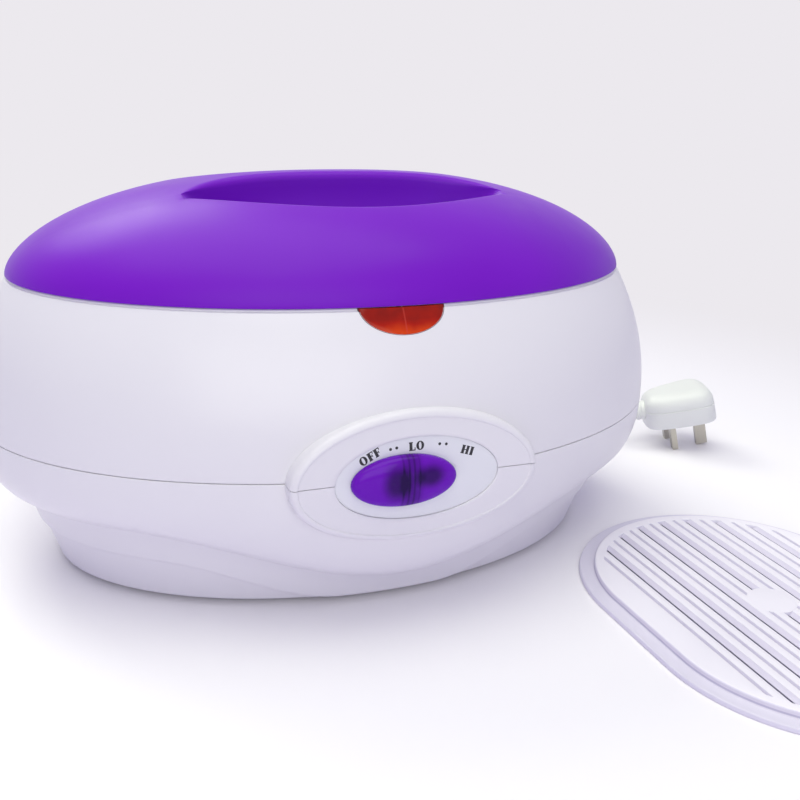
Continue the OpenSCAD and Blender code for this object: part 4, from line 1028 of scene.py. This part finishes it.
GRILLE = np.array([183.0, -175.0, 0.0])
GRILLE_R = 83.0
GRILLE_HALF = 28.0
GRILLE_TOP = 6.0
GRILLE_SKIN = 2.2
DECK_R = 70.8
SLOTS_ASIDE = 7
SLOT_PITCH = 8.3
SLOT_WIDTHS = (5.5, 2.0)
SLOT_OPEN = (1.1, 0.5)
SLOT_ZONE = 71.0
HUB_R = 12.5
HUB_SIDES = 96
RIM_SIDES = 240
RIB_HALF = 0.9
SUPPORT_R = 72.0

# Across the deck, column by column: places on top and below, how deep the top lies, and true
# where a slot is open. Each side of a slot has a rounded edge and a slope down to the opening.
border = [DECK_R + 0.6, 70.9, 70.0, 68.8]
top_x = [-place for place in border]
low_x = list(top_x)
drop = [0.0] * 4
opened = [False] * 3
for number in range(-SLOTS_ASIDE, SLOTS_ASIDE + 1):
    half_width = SLOT_WIDTHS[number % 2] / 2
    half_open = SLOT_OPEN[number % 2] / 2
    slope = [(half_width + 0.35, 0.0), (half_width + 0.1, 0.08), (half_width - 0.05, 0.35),
             (half_open, GRILLE_SKIN - 0.35)]
    for side in (-1, 1):
        for offset, depth in slope[::-side]:
            top_x.append(number * SLOT_PITCH + side * offset)
            low_x.append(number * SLOT_PITCH + side * max(offset, half_open))
            drop.append(depth)
            opened.append(side == 1 and offset == half_open)
top_x = np.array(top_x + border[::-1])
low_x = np.array(low_x + border[::-1])
drop = np.array(drop + [0.0] * 4)
opened += [False] * 4

# Along the deck: the edge, the ends of the slots and their slopes, from the front to the back.
edge = GRILLE_HALF + np.sqrt((DECK_R + 0.8) ** 2 - top_x ** 2)
reach = GRILLE_HALF + np.sqrt(SLOT_ZONE ** 2 - np.minimum(np.abs(top_x), 67.0) ** 2) - 2
reach = np.minimum(reach, edge - 0.9)
skin_z = GRILLE_TOP - GRILLE_SKIN
lines = [(edge, 0), (reach + 0.5, 0), (reach + 0.15, 0.2), (reach, 1)]
lines = [(-line, share) for line, share in lines] + lines[::-1]
deck_top = np.array([np.stack([top_x, line, GRILLE_TOP - 0.03 - drop * share], 1) for line, share in lines])
deck_low = np.array([np.stack([low_x, line, np.full(len(low_x), skin_z)], 1) for line, share in lines])
holes = np.zeros((len(lines) - 1, len(top_x) - 1), bool)
holes[3] = opened
points, groups = walled(deck_top, deck_low, keep=~holes)

# The ring round the deck: its foot, outer wall, low ledge and the step up to the deck. It is a loop
# of (radius, height) pairs, carried round two half circles that are pulled apart.
rim = [(DECK_R, skin_z), (SUPPORT_R, skin_z), (SUPPORT_R, 0.0)]
rim += [(GRILLE_R - 0.4, 0.0), (GRILLE_R, 0.4), (GRILLE_R, 1.9)]
rim += [(GRILLE_R - 0.6 + 0.6 * math.cos(t), 1.9 + 0.8 * math.sin(t)) for t in (0.5, 1.0, 1.57)]
rim += [(GRILLE_R - 1.6, 2.6), (GRILLE_R - 2.4, 2.45), (75.9, 2.4), (75.3, 2.55), (75.0, 3.0), (75.0, 5.0)]
rim += [(74.1 + 0.9 * math.cos(t), 5.05 + 0.9 * math.sin(t)) for t in (0.4, 0.8, 1.2, 1.57)]
rim += [(73.0, GRILLE_TOP), (DECK_R, GRILLE_TOP)]
radius, height = np.array(rim).T[:, :, None]
turn = (np.arange(RIM_SIDES) + 0.5) * 2 * math.pi / RIM_SIDES
rim_y = radius * np.sin(turn) + GRILLE_HALF * np.sign(np.sin(turn))
points, groups = join(points, groups, *looped(radius * np.cos(turn), rim_y, height + 0 * turn))

# A plain round hub in the middle of the deck, and a rib below it between each two slots.
hub = [(0.05, GRILLE_TOP + 0.15), (HUB_R - 0.8, GRILLE_TOP + 0.15), (HUB_R - 0.2, GRILLE_TOP),
       (HUB_R, GRILLE_TOP - 0.6), (HUB_R, skin_z), (0.05, skin_z)]
hub_points, hub_groups = turned(hub, HUB_SIDES)
points, groups = join(points, groups, hub_points, [group[:, ::-1] for group in hub_groups])
for number in range(-SLOTS_ASIDE - 1, SLOTS_ASIDE + 1):
    x = (number + 0.5) * SLOT_PITCH
    length = GRILLE_HALF + math.sqrt(SUPPORT_R ** 2 - min(abs(x) + RIB_HALF, SUPPORT_R) ** 2)
    rib = box((x - RIB_HALF, x + RIB_HALF), (-length, length), (0.6, skin_z + 0.1))
    points, groups = join(points, groups, *rib)

# White satin polypropylene with painted shade by height: greyer on the thin ledge and down the slots,
# darkest at the foot of the deck's wall.
white_polypropylene, tree, shader = finish_of("satin_white_polypropylene", "#F6F3F7", 0.42,
                                              Specular_IOR_Level=0.4)
place = grain(tree, shader, 0.0025, 0.00001, (0.38, 0.46))
split = add_node(tree, "ShaderNodeSeparateXYZ", None, {"Vector": place.outputs["Object"]})
height = add_node(tree, "ShaderNodeMapRange", {"From Min": 0.0, "From Max": GRILLE_TOP * MM},
                  {"Value": split.outputs["Z"]})
shades = add_node(tree, "ShaderNodeValToRGB", None, {"Fac": height.outputs["Result"]})
for share, colour in ((0.46, "#E2DFEA"), (0.5, "#BDB8D0"), (0.6, "#C4BFD6"), (0.65, "#E0DCEA"),
                      (0.94, "#E6E3EE"), (0.985, "#F8F6F9")):
    shades.color_ramp.elements.new(share).color = srgb(colour)
shades.color_ramp.elements.remove(shades.color_ramp.elements[0])
shades.color_ramp.elements.remove(shades.color_ramp.elements[-1])
tree.links.new(shades.outputs["Color"], shader.inputs["Base Color"])
hand_grille = mesh_piece("hand_grille", points + GRILLE, groups, white_polypropylene, 35)
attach(hand_grille, "grille")
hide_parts("grille")


# The parts inside and below keep their CAD shapes, and each kind gets the finish of its material:
# plated steel, brass, aluminium, ceramic, nylon, silicone, felt, rubber and wire insulation.

DARKEN = 0.88
# Each row: finish, colour, roughness, metallic, grain in metres, its height, roughness spread, nodes.
FINISHES = [
    ("zinc_plated_steel", "#B9BBBE", 0.34, 1.0, 0.0012, 0.000006, (0.26, 0.44), (
        "thermostat_bracket", "bracket_screws", "tank_nuts", "fuse_clip", "clamp_screws", "housing_screws")),
    ("spring_brass", "#C8A453", 0.28, 1.0, 0.0009, 0.000004, (0.22, 0.4), ("thermostat_spindle",)),
    ("unglazed_steatite", "#DDD2BC", 0.72, 0.0, 0.0006, 0.00003, (0.66, 0.8), (
        "thermostat_body", "thermal_fuse")),
    ("black_nylon", "#1B1B1E", 0.5, 0.0, 0.0009, 0.00002, (0.42, 0.58), ("knob_carriage", "cord_clamp")),
    ("plated_lever_steel", "#AEB0B2", 0.3, 1.0, 0.0015, 0.000005, (0.24, 0.4), ("thermostat_lever",)),
    ("moulded_polyamide", "#E3E0E4", 0.46, 0.0, 0.0011, 0.00001, (0.4, 0.52), (
        "terminal_block", "lamp_holder")),
    ("red_silicone", "#8E2A1E", 0.58, 0.0, 0.0014, 0.000012, (0.5, 0.66), ("tank_gasket",)),
    ("mineral_fibre_felt", "#DCD4B6", 0.95, 0.0, 0.0008, 0.0003, (0.9, 1.0), ("insulation_band",)),
    ("heat_tinted_sheath", "#4B4648", 0.42, 1.0, 0.0022, 0.00001, (0.32, 0.52), ("heating_element",)),
    ("pressed_aluminium", "#C3C5C8", 0.36, 1.0, 0.0016, 0.000008, (0.3, 0.46), ("heater_plate",)),
    ("brown_wire_pvc", "#4A2A16", 0.45, 0.0, 0.0014, 0.000008, (0.4, 0.52), ("wire_live",)),
    ("blue_wire_pvc", "#1F4F96", 0.45, 0.0, 0.0014, 0.000008, (0.4, 0.52), ("wire_neutral",)),
    ("white_wire_glass_braid", "#DEDBD2", 0.7, 0.0, 0.0005, 0.00008, (0.62, 0.8), (
        "wire_element", "wire_lamps")),
    ("red_wire_silicone", "#A8261C", 0.5, 0.0, 0.0014, 0.000008, (0.44, 0.58), ("wire_thermostat",)),
    ("drawn_aluminium", "#C6C8CA", 0.3, 1.0, 0.0024, 0.000006, (0.24, 0.42), ("wax_tank",)),
    ("neon_lamp_glass", "#E9C3A6", 0.08, 0.0, 0.0012, 0.000004, (0.05, 0.14), ("indicator_lamps",)),
    ("foot_rubber", "#4A4750", 0.82, 0.0, 0.0007, 0.00004, (0.76, 0.9), ("rubber_feet",)),
]
for name, colour, roughness, metallic, size, height, spread, nodes in FINISHES:
    finish, tree, shader = finish_of(name, colour, roughness, Metallic=metallic)
    place = grain(tree, shader, size, height, spread)
    tone = add_node(tree, "ShaderNodeTexNoise", {"Scale": 0.06 / size, "Detail": 4.0},
                    {"Vector": place.outputs["Object"]})
    shade = add_node(tree, "ShaderNodeValToRGB", None, {"Fac": tone.outputs["Fac"]})
    light = np.array(srgb(colour)[:3])
    for stop, factor, at in zip(shade.color_ramp.elements, (DARKEN, 1.0), (0.35, 0.6)):
        stop.position = at
        stop.color = (*(light * factor).tolist(), 1.0)
    tree.links.new(shade.outputs["Color"], shader.inputs["Base Color"])
    for node in nodes:
        dress(node, finish)
